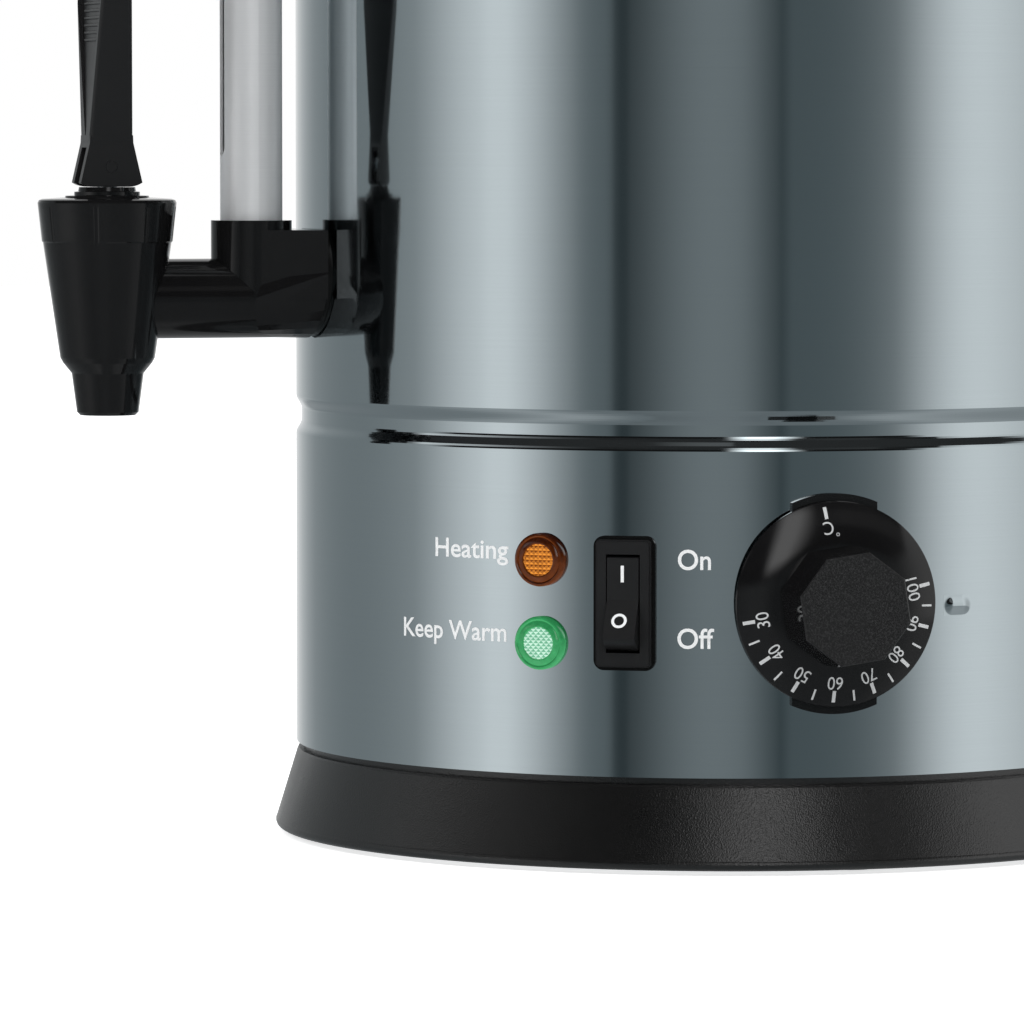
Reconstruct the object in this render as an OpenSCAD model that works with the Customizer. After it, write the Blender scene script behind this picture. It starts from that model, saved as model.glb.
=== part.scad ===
// Hot water urn, about 10 litres: a steel tank on a flared plastic base, with a lever tap,
// a sight gauge, a thermostat dial, a rocker switch, two lamps and a lift-off lid.
// +Z is up, the origin is on the urn's axis at the table, and the tap points to -Y.
// Angles round the wall start at the tap (-Y) and grow towards +X.

/* [Body] */
// Outside radius of the steel wall
body_r = 112; // [104:1:120]
// Height of the rolled rim above the table
body_top = 390; // [340:1:430]
// Thickness of the steel sheet
sheet_t = 0.8; // [0.6:0.1:1.2]
// Height of the middle of the pressed bead
bead_z = 109.6; // [104:0.1:114]
// Depth of the pressed bead
bead_d = 1.45; // [0.8:0.05:2]

/* [Base] */
// Height of the plastic base
skirt_h = 23.8; // [20:0.1:26]
// Largest radius of the base, at its toe
toe_r = 117.5; // [116:0.1:124]
// How far the rubber feet stand out below the base
foot_gap = 1.2; // [0.8:0.1:1.5]

/* [Controls] */
// Angle round the wall of the lamps
lamp_angle = 47.8; // [42:0.1:50]
// Angle round the wall of the rocker switch
switch_angle = 59; // [57:0.1:62]
// Angle round the wall of the thermostat dial
dial_angle = 85.5; // [80:0.1:88]
// Height of the switch and the dial
panel_z = 67; // [62:0.5:70]
// Diameter of the dial's skirt
dial_d = 51; // [46:0.2:54]
// Height of the dial's grip above the wall
grip_h = 21.4; // [14:0.2:24]
// Number of flats on the dial's grip
grip_sides = 8; // [6:1:10]
// Diameter of a lamp lens
lens_d = 13.3; // [12.6:0.1:14]
// Height between the two lamps
lamp_pitch = 20.7; // [18:0.1:24]
// Rocker travel between on and off, in degrees
rocker_travel = 28; // [20:1:30]

/* [Tap] */
// Height of the tap's shank
shank_z = 140.6; // [136:0.1:150]
// Distance from the wall to the tap's axis
tap_reach = 53.8; // [50:0.2:60]
// Distance from the wall to the gauge's axis
gauge_reach = 15.8; // [14:0.2:20]
// Lever travel, in degrees
lever_travel = 32; // [20:1:36]
// How far the lever lifts the valve
valve_lift = 2.6; // [1.8:0.1:3]

/* [Handles and lid] */
// Height of the handles' middle
handle_z = 338; // [300:1:350]
// Clear room for fingers behind a handle
finger_room = 30; // [26:1:36]
// Height of the lid's dome
dome_h = 9; // [4:0.5:16]

/* [Hidden] */
$fn = 96;

eps = 0.5;                          // overshoot of a cut past a face
fit = 0.05;                         // radial clearance of a running fit
steel = [0.62, 0.66, 0.68];
black = [0.04, 0.04, 0.045];
dull_black = [0.09, 0.09, 0.09];
zinc = [0.7, 0.7, 0.72];
seal_colour = [0.75, 0.72, 0.68];

inner_r = body_r - sheet_t;         // inside of the steel wall
bead_h = 10;                        // height of the bead
bead_flat = 2.8;                    // height of the flat at its bottom
bead_steps = 8;                     // facets in each of its curved flanks
flange_w = 9;                       // inward flange at the wall's lower edge
curl_r = 2.4;                       // rolled rim at the top
rim_z = body_top + curl_r;          // top of the rolled rim
tank_floor_z = bead_z + bead_h / 2; // the tank's base pan rests on the bead

// ---- placing -------------------------------------------------------------------------

// Places children on the wall: their +X points right as seen from outside, +Y up, +Z outward
module on_wall(angle, z, r = body_r) {
    rotate([0, 0, angle - 90]) translate([r, 0, z]) rotate([90, 0, 90]) children();
}

// Repeats children round the urn's axis
module around(count, first = 0) {
    for (i = [0 : count - 1]) rotate([0, 0, first + i * 360 / count]) children();
}

// Turns a drawing in (y, z) into a slab along X
module along_x(w) {
    rotate([90, 0, 90]) linear_extrude(w, center = true) children();
}

// A straight round rod between two points
module rod(a, b, r) {
    d = b - a;
    translate(a) rotate([0, acos(d.z / norm(d)), atan2(d.y, d.x)]) cylinder(r = r, h = norm(d));
}

module rounded_rect(w, h, r) {
    square([w - 2 * r, h], center = true);
    square([w, h - 2 * r], center = true);
    for (x = [-1, 1], y = [-1, 1]) translate([x * (w / 2 - r), y * (h / 2 - r)]) circle(r);
}

module ring(r_out, r_in, h) {
    difference() {
        cylinder(r = r_out, h = h);
        translate([0, 0, -eps]) cylinder(r = r_in, h = h + 2 * eps);
    }
}

// Everything inside a given radius of the urn, for saddle-shaped backs and fronts
module urn_core(r) {
    cylinder(r = r, h = body_top, $fn = 720);
}

// A pan-head screw along +Z with its head's underside at the origin, the head below
module screw(shank_r, length, head_r, head_h) {
    cylinder(r = shank_r, h = length);
    translate([0, 0, -head_h]) cylinder(r1 = head_r * 0.82, r2 = head_r, h = head_h);
}

// ---- body ----------------------------------------------------------------------------

// The bead's flanks are S curves: [height from its middle, share of its depth]
bead_curve = [for (i = [0 : bead_steps])
    let (t = i / bead_steps)
    [bead_h / 2 - t * (bead_h - bead_flat) / 2, t * t * (3 - 2 * t)]
];

// The wall's outline, moved inward by d
function wall_line(d) = concat(
    [[body_r - d, skirt_h]],
    [for (p = bead_curve) [body_r - d - bead_d * p[1], bead_z - p[0]]],
    [for (p = reversed(bead_curve)) [body_r - d - bead_d * p[1], bead_z + p[0]]],
    [[body_r - d, body_top]]
);

function reversed(list) = [for (i = [len(list) - 1 : -1 : 0]) list[i]];

module wall_profile() {
    polygon(concat(wall_line(0), reversed(wall_line(sheet_t))));
    translate([body_r - flange_w, skirt_h]) square([flange_w, sheet_t]);
    translate([inner_r + curl_r, body_top]) difference() {
        circle(curl_r);
        circle(curl_r - sheet_t);
        translate([-0.6, -curl_r - eps]) square([1.2, curl_r]);
    }
}

// Oblong index pip, pressed outward beside the dial
pip_angle = 102.9;
pip_r = 3.1;
pip_l = 2.6;
pip_rise = 0.5;

module pip(r) {
    on_wall(pip_angle, panel_z, body_r + pip_rise - pip_r) {
        rotate([0, 90, 0]) cylinder(r = r, h = pip_l, center = true);
        for (s = [-1, 1]) translate([s * pip_l / 2, 0, 0]) sphere(r);
    }
}

shank_r = 8;
shank_hole_r = shank_r + 0.3;
base_screw_ring = 106;

module wall_cuts() {
    translate([0, -body_r, shank_z]) rotate([90, 0, 0])
        cylinder(r = shank_hole_r, h = 20, center = true);
    for (s = [-1, 1]) on_wall(lamp_angle, panel_z + s * lamp_pitch / 2)
        cylinder(r = lamp_body_r, h = 12, center = true);
    on_wall(switch_angle, panel_z)
        linear_extrude(12, center = true) rounded_rect(switch_w + 0.4, switch_h + 0.4, 1);
    on_wall(dial_angle, panel_z) {
        cylinder(r = 5.5, h = 12, center = true);
        for (s = [-1, 1]) translate([s * stat_screw_x, 0, 0])
            cylinder(r = stat_screw_r + 0.2, h = 12, center = true);
    }
    on_wall(180, inlet_z) {
        linear_extrude(12, center = true) rounded_rect(inlet_body.x + 0.4, inlet_body.y + 0.4, 2);
        for (s = [-1, 1]) translate([0, s * inlet_screw_y, 0])
            cylinder(r = inlet_screw_r, h = 12, center = true);
    }
    for (side = [-90, 90], s = [-1, 1]) on_wall(side + s * leg_angle, handle_z)
        cylinder(r = handle_screw_r, h = 12, center = true);
    around(4, 45) translate([base_screw_ring, 0, skirt_h - eps])
        cylinder(r = base_screw_r, h = sheet_t + 2 * eps);
}

module outer_shell() {
    color(steel) difference() {
        union() {
            rotate_extrude() wall_profile();
            difference() {
                pip(pip_r);
                translate([0, 0, panel_z - 10]) cylinder(r = inner_r, h = 20);
            }
        }
        pip(pip_r - sheet_t);
        wall_cuts();
    }
}

// ---- base ----------------------------------------------------------------------------

skirt_t = 2.4;                      // wall of the moulded base
gap_h = 1.8;                        // dark groove under the steel
gap_d = 1.8;
toe_fillet = 1.6;
plateau_r = 92;                     // inside radius of the ledge that carries the steel
foot_ring = 98;                     // ring of the feet, their bosses and screws
cover_z = 4;
cover_t = 1.2;

module skirt_profile() {
    lip = skirt_h - gap_h;
    polygon([
        [plateau_r, skirt_h], [body_r - gap_d, skirt_h], [body_r - gap_d, lip],
        [body_r - 0.5, lip], [body_r - 0.2, lip - 0.6],
        [toe_r, foot_gap + toe_fillet], [toe_r - toe_fillet, foot_gap],
        [toe_r - skirt_t, foot_gap], [toe_r - skirt_t - 0.2, foot_gap + 2],
        [body_r - skirt_t - 0.2, lip - skirt_t], [body_r - skirt_t - 2, skirt_h - skirt_t],
        [plateau_r, skirt_h - skirt_t]
    ]);
    translate([toe_r - toe_fillet, foot_gap + toe_fillet]) circle(toe_fillet);
}

module base_skirt() {
    color(dull_black) difference() {
        union() {
            rotate_extrude() skirt_profile();
            around(4, 0) translate([foot_ring, 0, cover_z + cover_t])
                cylinder(r = 5, h = skirt_h - skirt_t - cover_z - cover_t + eps);
        }
        around(4, 0) translate([foot_ring, 0, cover_z])
            cylinder(r = foot_screw_r, h = 13);
        around(4, 45) translate([base_screw_ring, 0, skirt_h / 2])
            cylinder(r = base_screw_r + 0.1, h = skirt_h);
        around(4, 45) translate([base_screw_ring, 0, skirt_h - skirt_t - base_recess])
            cylinder(r = base_head_r + 0.3, h = base_recess);
    }
}

foot_screw_r = 2;
foot_screw_head_z = 2.5;
base_screw_r = 1.6;
base_head_r = 2.6;
base_recess = 3;                    // depth of the recess round each base screw's head

module bottom_cover() {
    color(zinc) difference() {
        union() {
            translate([0, 0, cover_z]) cylinder(r = 112.6, h = cover_t);
            // stiffening ring pressed upward
            translate([0, 0, cover_z]) ring(80, 76, cover_t + 2);
        }
        around(4, 0) translate([foot_ring, 0, cover_z - eps])
            cylinder(r = foot_screw_r + 0.1, h = cover_t + 2 * eps);
        for (row = [0 : 2]) around(12, row * 15)
            translate([34 + row * 14, 0, cover_z - eps])
                linear_extrude(cover_t + 2 * eps) rounded_rect(3, 9, 1.4);
    }
}

module rubber_feet() {
    color(black) around(4, 0) translate([foot_ring, 0, 0]) difference() {
        cylinder(r1 = 8.4, r2 = 9, h = cover_z);
        translate([0, 0, -eps]) cylinder(r = 4.4, h = foot_screw_head_z + eps);
        translate([0, 0, -eps]) cylinder(r = foot_screw_r, h = cover_z + 2 * eps);
    }
}

module foot_screws() {
    color(zinc) around(4, 0) translate([foot_ring, 0, foot_screw_head_z])
        screw(foot_screw_r, 12, 4, 1.9);
}

module base_screws() {
    color(zinc) around(4, 45) translate([base_screw_ring, 0, skirt_h - skirt_t])
        screw(base_screw_r, skirt_t + sheet_t, base_head_r, 1.6);
}

// ---- tank bottom and heater ------------------------------------------------------------

plate_r = 68;
plate_t = 4;
element_ring = 46;
element_r = 3.25;
plate_z = tank_floor_z - plate_t;   // underside of the heating plate
element_z = plate_z - element_r;
element_gap = 40;                   // angle left open between the element's ends
element_drop = 14;

module tank_base() {
    color(steel) rotate_extrude() {
        translate([0, tank_floor_z]) square([inner_r, sheet_t]);
        translate([inner_r - sheet_t, tank_floor_z]) square([sheet_t, 9]);
        // small fillet between the floor and the upturned flange
        translate([inner_r - sheet_t - 3, tank_floor_z + sheet_t]) difference() {
            square([3, 3]);
            translate([0, 3]) circle(3);
        }
    }
}

module heating_plate() {
    color(zinc) translate([0, 0, plate_z]) difference() {
        cylinder(r = plate_r, h = plate_t);
        for (s = [-1, 1]) translate(cutout_pos + [s * cutout_screw_x, 0, -eps])
            cylinder(r = 1.5, h = 3 + eps);
    }
}

module element_ends() {
    for (s = [-1, 1]) rotate([0, 0, 180 + s * element_gap / 2])
        translate([element_ring, 0, 0]) children();
}

module heating_element() {
    color(steel) {
        translate([0, 0, element_z]) rotate([0, 0, 180 + element_gap / 2])
            rotate_extrude(angle = 360 - element_gap)
                translate([element_ring, 0]) circle(element_r);
        element_ends() translate([0, 0, element_z - element_drop])
            cylinder(r = element_r + 0.4, h = element_drop + element_r);
    }
}

module element_insulators() {
    top = element_z - element_drop;
    color("ivory") element_ends() {
        translate([0, 0, top - 5]) cylinder(r1 = 3.4, r2 = 4.4, h = 5);
        translate([-3.15, -0.4, top - 13]) cube([6.3, 0.8, 8.5]);
    }
}

cutout_pos = [-14, 12, 0];
cutout_screw_x = 11;

module thermal_cutout() {
    color(dull_black) translate([0, 0, plate_z] + cutout_pos) {
        translate([0, 0, -1]) difference() {
            linear_extrude(1) rounded_rect(30, 10, 3);
            for (s = [-1, 1]) translate([s * cutout_screw_x, 0, -eps])
                cylinder(r = 1.6, h = 2);
        }
        translate([0, 0, -9]) cylinder(r = 8, h = 8.5);
        for (s = [-1, 1]) translate([s * 4 - 0.4, -3.15, -16]) cube([0.8, 6.3, 8]);
        translate([0, 0, -10.5]) cylinder(r = 2, h = 2);
    }
}

module cutout_screws() {
    color(zinc) translate([0, 0, plate_z - 1] + cutout_pos)
        for (s = [-1, 1]) translate([s * cutout_screw_x, 0, 0]) screw(1.5, 3.8, 2.8, 1.6);
}

// ---- thermostat and dial ---------------------------------------------------------------

stat_screw_x = 14;
stat_face = -2.5;                   // front of the thermostat's box behind the wall
stat_size = [36, 34, 24];
stat_screw_r = 1.9;
stat_head_r = 3.2;
stat_head_h = 1.2;
shaft_r = 3;
shaft_flat = 2.2;                   // distance from the shaft's axis to its flat
plate_front = 1.5;                  // front face of the dial's back plate
dial_back = plate_front + 0.4;
dial_rim_t = 1;
dial_dome_h = 2.7;                  // rise of the dial's face towards the grip
dome_steps = 8;
grip_base_r = 15.4;                 // radius over the grip's corners
grip_top_r = 14.5;
grip_edge = 0.4;
lug_r = 27.3;                       // reach of the back plate's two lugs
lug_w = 21.7;
grip_turn = 31;                     // angle of a corner in the stored position

module thermostat_body() {
    color(zinc) difference() {
        on_wall(dial_angle, panel_z) {
            translate([-stat_size.x / 2, -stat_size.y / 2, stat_face - stat_size.z])
                cube(stat_size);
            for (s = [-1, 1]) translate([s * stat_screw_x, 0, stat_face - 1])
                cylinder(r = 3.4, h = 3);
            for (s = [-1, 1]) translate([s * 6 - 3.15, -stat_size.y / 2 - 8, stat_face - 14])
                cube([6.3, 9, 0.8]);
        }
        // the bosses end on the wall's curved inner face
        difference() {
            translate([0, 0, panel_z - 30]) cylinder(r = body_r + 20, h = 60);
            urn_core(inner_r);
        }
        on_wall(dial_angle, panel_z) {
            translate([0, 0, -18.5]) cylinder(r = shaft_r + fit, h = 40);
            for (s = [-1, 1]) translate([s * stat_screw_x, 0, -10])
                cylinder(r = stat_screw_r, h = 20);
        }
    }
}

module thermostat_bulb() {
    bulb_r = 3;
    start = [16, 35, plate_z - bulb_r];
    low = [16, 38, plate_z - 16];
    far = [78, -8, plate_z - 16];
    box_top = [92, -10, panel_z + stat_size.y / 2];
    color("peru") {
        rod([16, -35, start.z], start, bulb_r);
        rod(start, low, 0.9);
        rod(low, far, 0.95);
        rod(far + [0, 0, 0.9], box_top, 0.9);
    }
}

module bulb_clip() {
    clip_r = 3;
    color(zinc) translate([16, -6, plate_z - clip_r]) rotate([-90, 0, 0]) linear_extrude(12) {
        difference() {
            union() {
                circle(clip_r + 0.8);
                translate([0, -clip_r]) square([10, 0.8]);
            }
            circle(clip_r);
            translate([-9, -clip_r - 5]) square([18, 5]);
            translate([-9, -clip_r]) square([9, clip_r - 0.6]);
        }
    }
}

module thermostat_screws() {
    color(zinc) on_wall(dial_angle, panel_z) for (s = [-1, 1])
        translate([s * stat_screw_x, 0, plate_front - stat_head_h - 0.2]) mirror([0, 0, 1])
            screw(stat_screw_r, 9, stat_head_r, stat_head_h);
}

module dial_backplate() {
    color(black) difference() {
        on_wall(dial_angle, panel_z) translate([0, 0, -6]) {
            cylinder(r = 22.8, h = 6 + plate_front);
            linear_extrude(6 + plate_front) intersection() {
                circle(lug_r);
                square([lug_w, 3 * lug_r], center = true);
            }
        }
        urn_core(body_r);
        on_wall(dial_angle, panel_z) {
            translate([0, 0, -8]) cylinder(r = 5.2, h = 12);
            for (s = [-1, 1]) translate([s * stat_screw_x, 0, 0]) {
                translate([0, 0, -8]) cylinder(r = stat_screw_r + 0.2, h = 12);
                translate([0, 0, plate_front - stat_head_h - 0.2])
                    cylinder(r = stat_head_r + 0.2, h = 3);
            }
        }
    }
}

module d_section(r) {
    difference() {
        circle(r);
        translate([shaft_flat, -r]) square([r, 2 * r]);
    }
}

module dial_shaft() {
    color(zinc) on_wall(dial_angle, panel_z) {
        translate([0, 0, -18]) cylinder(r = shaft_r, h = 22);
        translate([0, 0, 4]) linear_extrude(grip_h - 7) d_section(shaft_r);
    }
}

// Half section of the dial's skirt, a low dome that levels out under the grip
module dial_profile() {
    edge_r = dial_d / 2;
    edge_z = dial_back + dial_rim_t;
    flat_r = grip_top_r - 2;
    polygon(concat(
        [[0, dial_back], [edge_r, dial_back], [edge_r, edge_z - 0.2]],
        [for (i = [0 : dome_steps]) let (t = i / dome_steps)
            [edge_r - 0.2 - (edge_r - 0.2 - flat_r) * t,
             edge_z + dial_dome_h * (1 - (1 - t) * (1 - t))]],
        [[0, edge_z + dial_dome_h]]
    ));
}

module dial_knob() {
    grip_z = dial_back + dial_rim_t;
    hub_r = 5.5;
    color(black) on_wall(dial_angle, panel_z) difference() {
        union() {
            rotate_extrude() dial_profile();
            rotate([0, 0, grip_turn]) {
                translate([0, 0, grip_z]) cylinder(r1 = grip_base_r, r2 = grip_top_r,
                    h = grip_h - grip_z - grip_edge, $fn = grip_sides);
                translate([0, 0, grip_h - grip_edge])
                    cylinder(r1 = grip_top_r, r2 = grip_top_r - grip_edge, h = grip_edge,
                             $fn = grip_sides);
            }
        }
        // hollow moulding round a hub
        translate([0, 0, dial_back - eps]) ring(11, hub_r, grip_h - dial_back - 2 + eps);
        translate([0, 0, dial_back - eps]) linear_extrude(grip_h - dial_back - 3 + eps)
            d_section(shaft_r);
        translate([0, 0, dial_back - eps])
            cylinder(r = shaft_r, h = 4 - dial_back + eps);
    }
}

// ---- rocker switch ---------------------------------------------------------------------

bezel_w = 14;
bezel_h = 31.6;
switch_w = 12;                      // body that snaps into the wall
switch_h = 27;
gasket_t = 0.8;
bezel_front = gasket_t + 1.8;
window_w = 8.6;
window_h = 24.4;
rocker_w = 8;
rocker_arc = 11.9;                  // radius of the rocker's ends about its pivot
pivot_z = -1;                       // pivot's depth behind the wall's surface
pivot_pin_r = 1.2;
rocker_rise = bezel_front + 0.2 - pivot_z;

module switch_gasket() {
    color(black) difference() {
        on_wall(switch_angle, panel_z) translate([0, 0, -1]) linear_extrude(1 + gasket_t)
            difference() {
                rounded_rect(bezel_w + 1.7, bezel_h + 1.7, 2.6);
                rounded_rect(switch_w + 0.2, switch_h + 0.2, 1);
            }
        urn_core(body_r);
    }
}

module switch_housing() {
    color(black) on_wall(switch_angle, panel_z) difference() {
        union() {
            translate([0, 0, gasket_t]) linear_extrude(bezel_front - gasket_t - 0.5)
                rounded_rect(bezel_w, bezel_h, 1.2);
            translate([0, 0, bezel_front - 0.5]) linear_extrude(0.5)
                rounded_rect(bezel_w - 0.8, bezel_h - 0.8, 0.9);
            translate([0, 0, -17]) linear_extrude(17 + gasket_t) rounded_rect(switch_w, switch_h, 0.8);
            for (y = [-8, 0, 8]) translate([-2.4, y - 0.4, -25]) cube([4.8, 0.8, 9]);
        }
        translate([0, 0, -7]) linear_extrude(20) square([window_w, window_h], center = true);
        translate([0, 0, pivot_z]) rotate([0, 90, 0])
            cylinder(r = pivot_pin_r + fit, h = window_w + 2.2, center = true);
    }
}

// The rocker's side outline about its pivot, level between on and off
module rocker_outline() {
    rise = rocker_rise + rocker_arc * tan(rocker_travel / 2);
    intersection() {
        circle(rocker_arc + 0.001);
        polygon([
            [-rocker_arc, -2.5], [rocker_arc, -2.5], [rocker_arc, rise], [0, rocker_rise],
            [-rocker_arc, rise]
        ]);
    }
}

module switch_rocker() {
    color(black) on_wall(switch_angle, panel_z) translate([0, 0, pivot_z]) {
        rotate([-rocker_travel / 2, 0, 0]) along_x(rocker_w) rocker_outline();
        rotate([0, 90, 0]) cylinder(r = pivot_pin_r, h = window_w + 1.8, center = true);
    }
}

// ---- lamps -----------------------------------------------------------------------------

lamp_body_r = 5.9;
lamp_spigot_r = 4.8;

module lens_profile() {
    edge = 1.5;
    round_r = 0.6;
    dome = 16;                      // radius of the shallow dome
    flat_r = lens_d / 2 - round_r;
    square([flat_r, edge + round_r]);
    square([lens_d / 2, edge]);
    translate([flat_r, edge]) circle(round_r);
    intersection() {
        translate([0, edge + 1.5 - dome]) circle(dome);
        square([flat_r, 6]);
    }
    translate([0, -6]) square([lamp_spigot_r, 6]);
}

module lamp_lens(side, tint) {
    color(tint) on_wall(lamp_angle, panel_z + side * lamp_pitch / 2)
        rotate_extrude() lens_profile();
}

module lamp_lens_amber() {
    lamp_lens(1, [0.9, 0.45, 0.1, 0.8]);
}

module lamp_lens_green() {
    lamp_lens(-1, [0.1, 0.7, 0.35, 0.8]);
}

module lamp_bodies() {
    color("white") for (s = [-1, 1]) on_wall(lamp_angle, panel_z + s * lamp_pitch / 2) {
        difference() {
            translate([0, 0, -18]) cylinder(r = lamp_body_r - 0.1, h = 18);
            translate([0, 0, -6]) cylinder(r = lamp_spigot_r, h = 7);
        }
        for (x = [-3, 3]) translate([x - 0.4, -2.4, -25]) cube([0.8, 4.8, 7.5]);
    }
}

module lamp_clips() {
    color(zinc) intersection() {
        for (s = [-1, 1]) on_wall(lamp_angle, panel_z + s * lamp_pitch / 2)
            translate([0, 0, -3]) ring(8.6, lamp_body_r - 0.1, 4);
        urn_core(inner_r);
    }
}

// ---- power inlet and wiring --------------------------------------------------------------

inlet_z = 65;
inlet_screw_y = 20;
inlet_face = [24, 50, 3];           // flange on the wall
inlet_body = [20, 27, 22];          // body behind the wall
inlet_recess = [16.5, 24, 18];      // room for the plug, from the flange's face

module power_inlet() {
    color(black) difference() {
        union() {
            difference() {
                on_wall(180, inlet_z) translate([0, 0, -3]) linear_extrude(3 + inlet_face.z)
                    rounded_rect(inlet_face.x, inlet_face.y, 4);
                urn_core(body_r);
            }
            on_wall(180, inlet_z) translate([0, 0, -inlet_body.z])
                linear_extrude(inlet_body.z + inlet_face.z)
                    rounded_rect(inlet_body.x, inlet_body.y, 2);
        }
        on_wall(180, inlet_z) {
            translate([0, 0, inlet_face.z - inlet_recess.z]) linear_extrude(30)
                rounded_rect(inlet_recess.x, inlet_recess.y, 3);
            for (s = [-1, 1]) translate([0, s * inlet_screw_y, -5])
                cylinder(r = inlet_screw_r, h = 12);
            for (p = inlet_pin_places) translate([p.x - 1, p.y - 2, -26]) cube([2, 4, 15]);
        }
    }
}

inlet_pin_places = [[-2, 7], [-2, -7], [4, 0]];
inlet_screw_r = 1.8;

module inlet_pins() {
    color(zinc) on_wall(180, inlet_z)
        for (p = inlet_pin_places) translate([p.x - 1, p.y - 2, -30]) cube([2, 4, 27]);
}

module inlet_screws() {
    color(zinc) on_wall(180, inlet_z) for (s = [-1, 1])
        translate([0, s * inlet_screw_y, inlet_face.z]) mirror([0, 0, 1])
            screw(inlet_screw_r, 6.4, 3.4, 1.6);
}

loom_r = 2.4;
loom_ring = 104.6;

module wiring_loom() {
    z0 = skirt_h + sheet_t + loom_r;
    ends = [[switch_angle, panel_z - 13.5], [180, inlet_z - 13.5]];
    color(dull_black) {
        rotate([0, 0, ends[0][0] - 90]) rotate_extrude(angle = ends[1][0] - ends[0][0])
            translate([loom_ring, z0]) circle(loom_r);
        for (e = ends) rotate([0, 0, e[0] - 90]) translate([loom_ring, 0, z0 - loom_r])
            cylinder(r = loom_r + 0.4, h = e[1] - z0 + loom_r);
    }
}

// ---- handles -----------------------------------------------------------------------------

leg_angle = 22;                     // half angle between a handle's two legs
strap_t = 11;                       // thickness of the handle's strap
strap_h = 24;                       // height of the strap
strap_edge = 6;                     // slope taken off the bow's outer rims
elbow_r = 12;                       // radius of the strap's middle line at a corner
grip_ring = body_r + finger_room + strap_t / 2;
elbow_ring = grip_ring - elbow_r;
elbow_shift = asin(elbow_r / elbow_ring);
elbow_reach = sqrt(elbow_ring * elbow_ring - elbow_r * elbow_r);
handle_screw_r = 2.5;

// The outline that a strap's bow, corners and legs enclose when it is half_t thick either side
module strap_reach(half_t, start) {
    span = leg_angle - elbow_shift;
    far = 2 * grip_ring;
    intersection() {
        circle(r = grip_ring + half_t);
        polygon([[0, 0], [far, -far * tan(span)], [far, far * tan(span)]]);
    }
    for (s = [-1, 1]) {
        rotate(s * span) translate([elbow_ring, 0]) circle(r = elbow_r + half_t);
        rotate(s * leg_angle) translate([start, s > 0 ? -elbow_r : -half_t])
            square([elbow_reach - start, elbow_r + half_t]);
    }
}

// The turned solid whose sloping rims take the bow's outer edges off
module strap_crown() {
    rim = grip_ring + strap_t / 2 + 1;
    half_h = strap_h / 2;
    rotate_extrude() polygon([[0, -half_h - 1], [rim - strap_edge, -half_h - 1],
        [rim, strap_edge - half_h - 1], [rim, half_h + 1 - strap_edge],
        [rim - strap_edge, half_h + 1], [0, half_h + 1]]);
}

// One handle about the +X side, at the height of its middle
module handle() {
    difference() {
        union() {
            intersection() {
                linear_extrude(strap_h, center = true) difference() {
                    strap_reach(strap_t / 2, body_r - 3);
                    strap_reach(-strap_t / 2, 0);
                }
                strap_crown();
            }
            // round foot against the wall
            for (s = [-1, 1]) rotate([0, 0, s * leg_angle]) translate([body_r - 3, 0, 0])
                rotate([0, 90, 0]) cylinder(r1 = 15.2, r2 = 12.9, h = 7);
        }
        translate([0, 0, -40]) cylinder(r = body_r, h = 80);
        for (s = [-1, 1]) rotate([0, 0, s * leg_angle]) translate([body_r - 5, 0, 0])
            rotate([0, 90, 0]) cylinder(r = handle_screw_r, h = 22);
    }
}

module handle_left() {
    color(black) translate([0, 0, handle_z]) rotate([0, 0, 180]) handle();
}

module handle_right() {
    color(black) translate([0, 0, handle_z]) handle();
}

washer_t = 1.2;

module handle_fixings() {
    for (side = [-90, 90], s = [-1, 1]) on_wall(side + s * leg_angle, handle_z) children();
}

module handle_screws() {
    color(zinc) handle_fixings() translate([0, 0, -sheet_t - washer_t])
        screw(handle_screw_r, 18, 5, 3);
}

module handle_washers() {
    color(seal_colour) intersection() {
        handle_fixings() translate([0, 0, -sheet_t - washer_t])
            ring(6.5, handle_screw_r, washer_t + 1);
        urn_core(inner_r);
    }
}

// ---- tee, seals and gauge ------------------------------------------------------------------

arm_r = 10.2;                       // round arm between the tap and the tee
bore_r = 5;                         // water passage
spigot_r = 7.5;                     // tap's spigot inside the arm
spigot_end = body_r + tap_reach - 26;
tap_y = -(body_r + tap_reach);
gauge_y = -(body_r + gauge_reach);
seal_t = 1.2;
saddle_r = 17.5;                    // rounded lower edge of the tee's foot
saddle_z = shank_z + 7;
tee_top = shank_z + 17.6;
socket_top = shank_z + 20;
socket_r = 10.4;                    // round socket that the gauge stands in
web_half = 9.6;                     // half width of the web behind it

// Cylinder along -Y from radius y0 to radius y1, at the shank's height
module arm(r, y0, y1, z = shank_z) {
    translate([0, -y0, z]) rotate([90, 0, 0]) cylinder(r = r, h = y1 - y0);
}

// The round socket under the gauge and its web, wider towards the wall. In front their
// underside rises at 45 degrees from the arm
module tee_block() {
    front = -gauge_y + socket_r;
    intersection() {
        union() {
            translate([0, gauge_y, tee_top]) cylinder(r = socket_r, h = socket_top - tee_top);
            translate([0, 0, shank_z]) linear_extrude(tee_top - shank_z) {
                translate([0, gauge_y]) circle(socket_r);
                polygon([
                    [-web_half, gauge_y - 2], [web_half, gauge_y - 2],
                    [saddle_r, -body_r + 1.5], [-saddle_r, -body_r + 1.5]
                ]);
            }
        }
        along_x(60) polygon([
            [-front - 1, socket_top + 1], [-front - 1, shank_z + arm_r],
            [-front, shank_z + arm_r], [-front + 8.5, shank_z + 1.7], [-front + 8.5, shank_z],
            [-body_r + 4, shank_z], [-body_r + 4, socket_top + 1]
        ]);
    }
}

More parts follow.
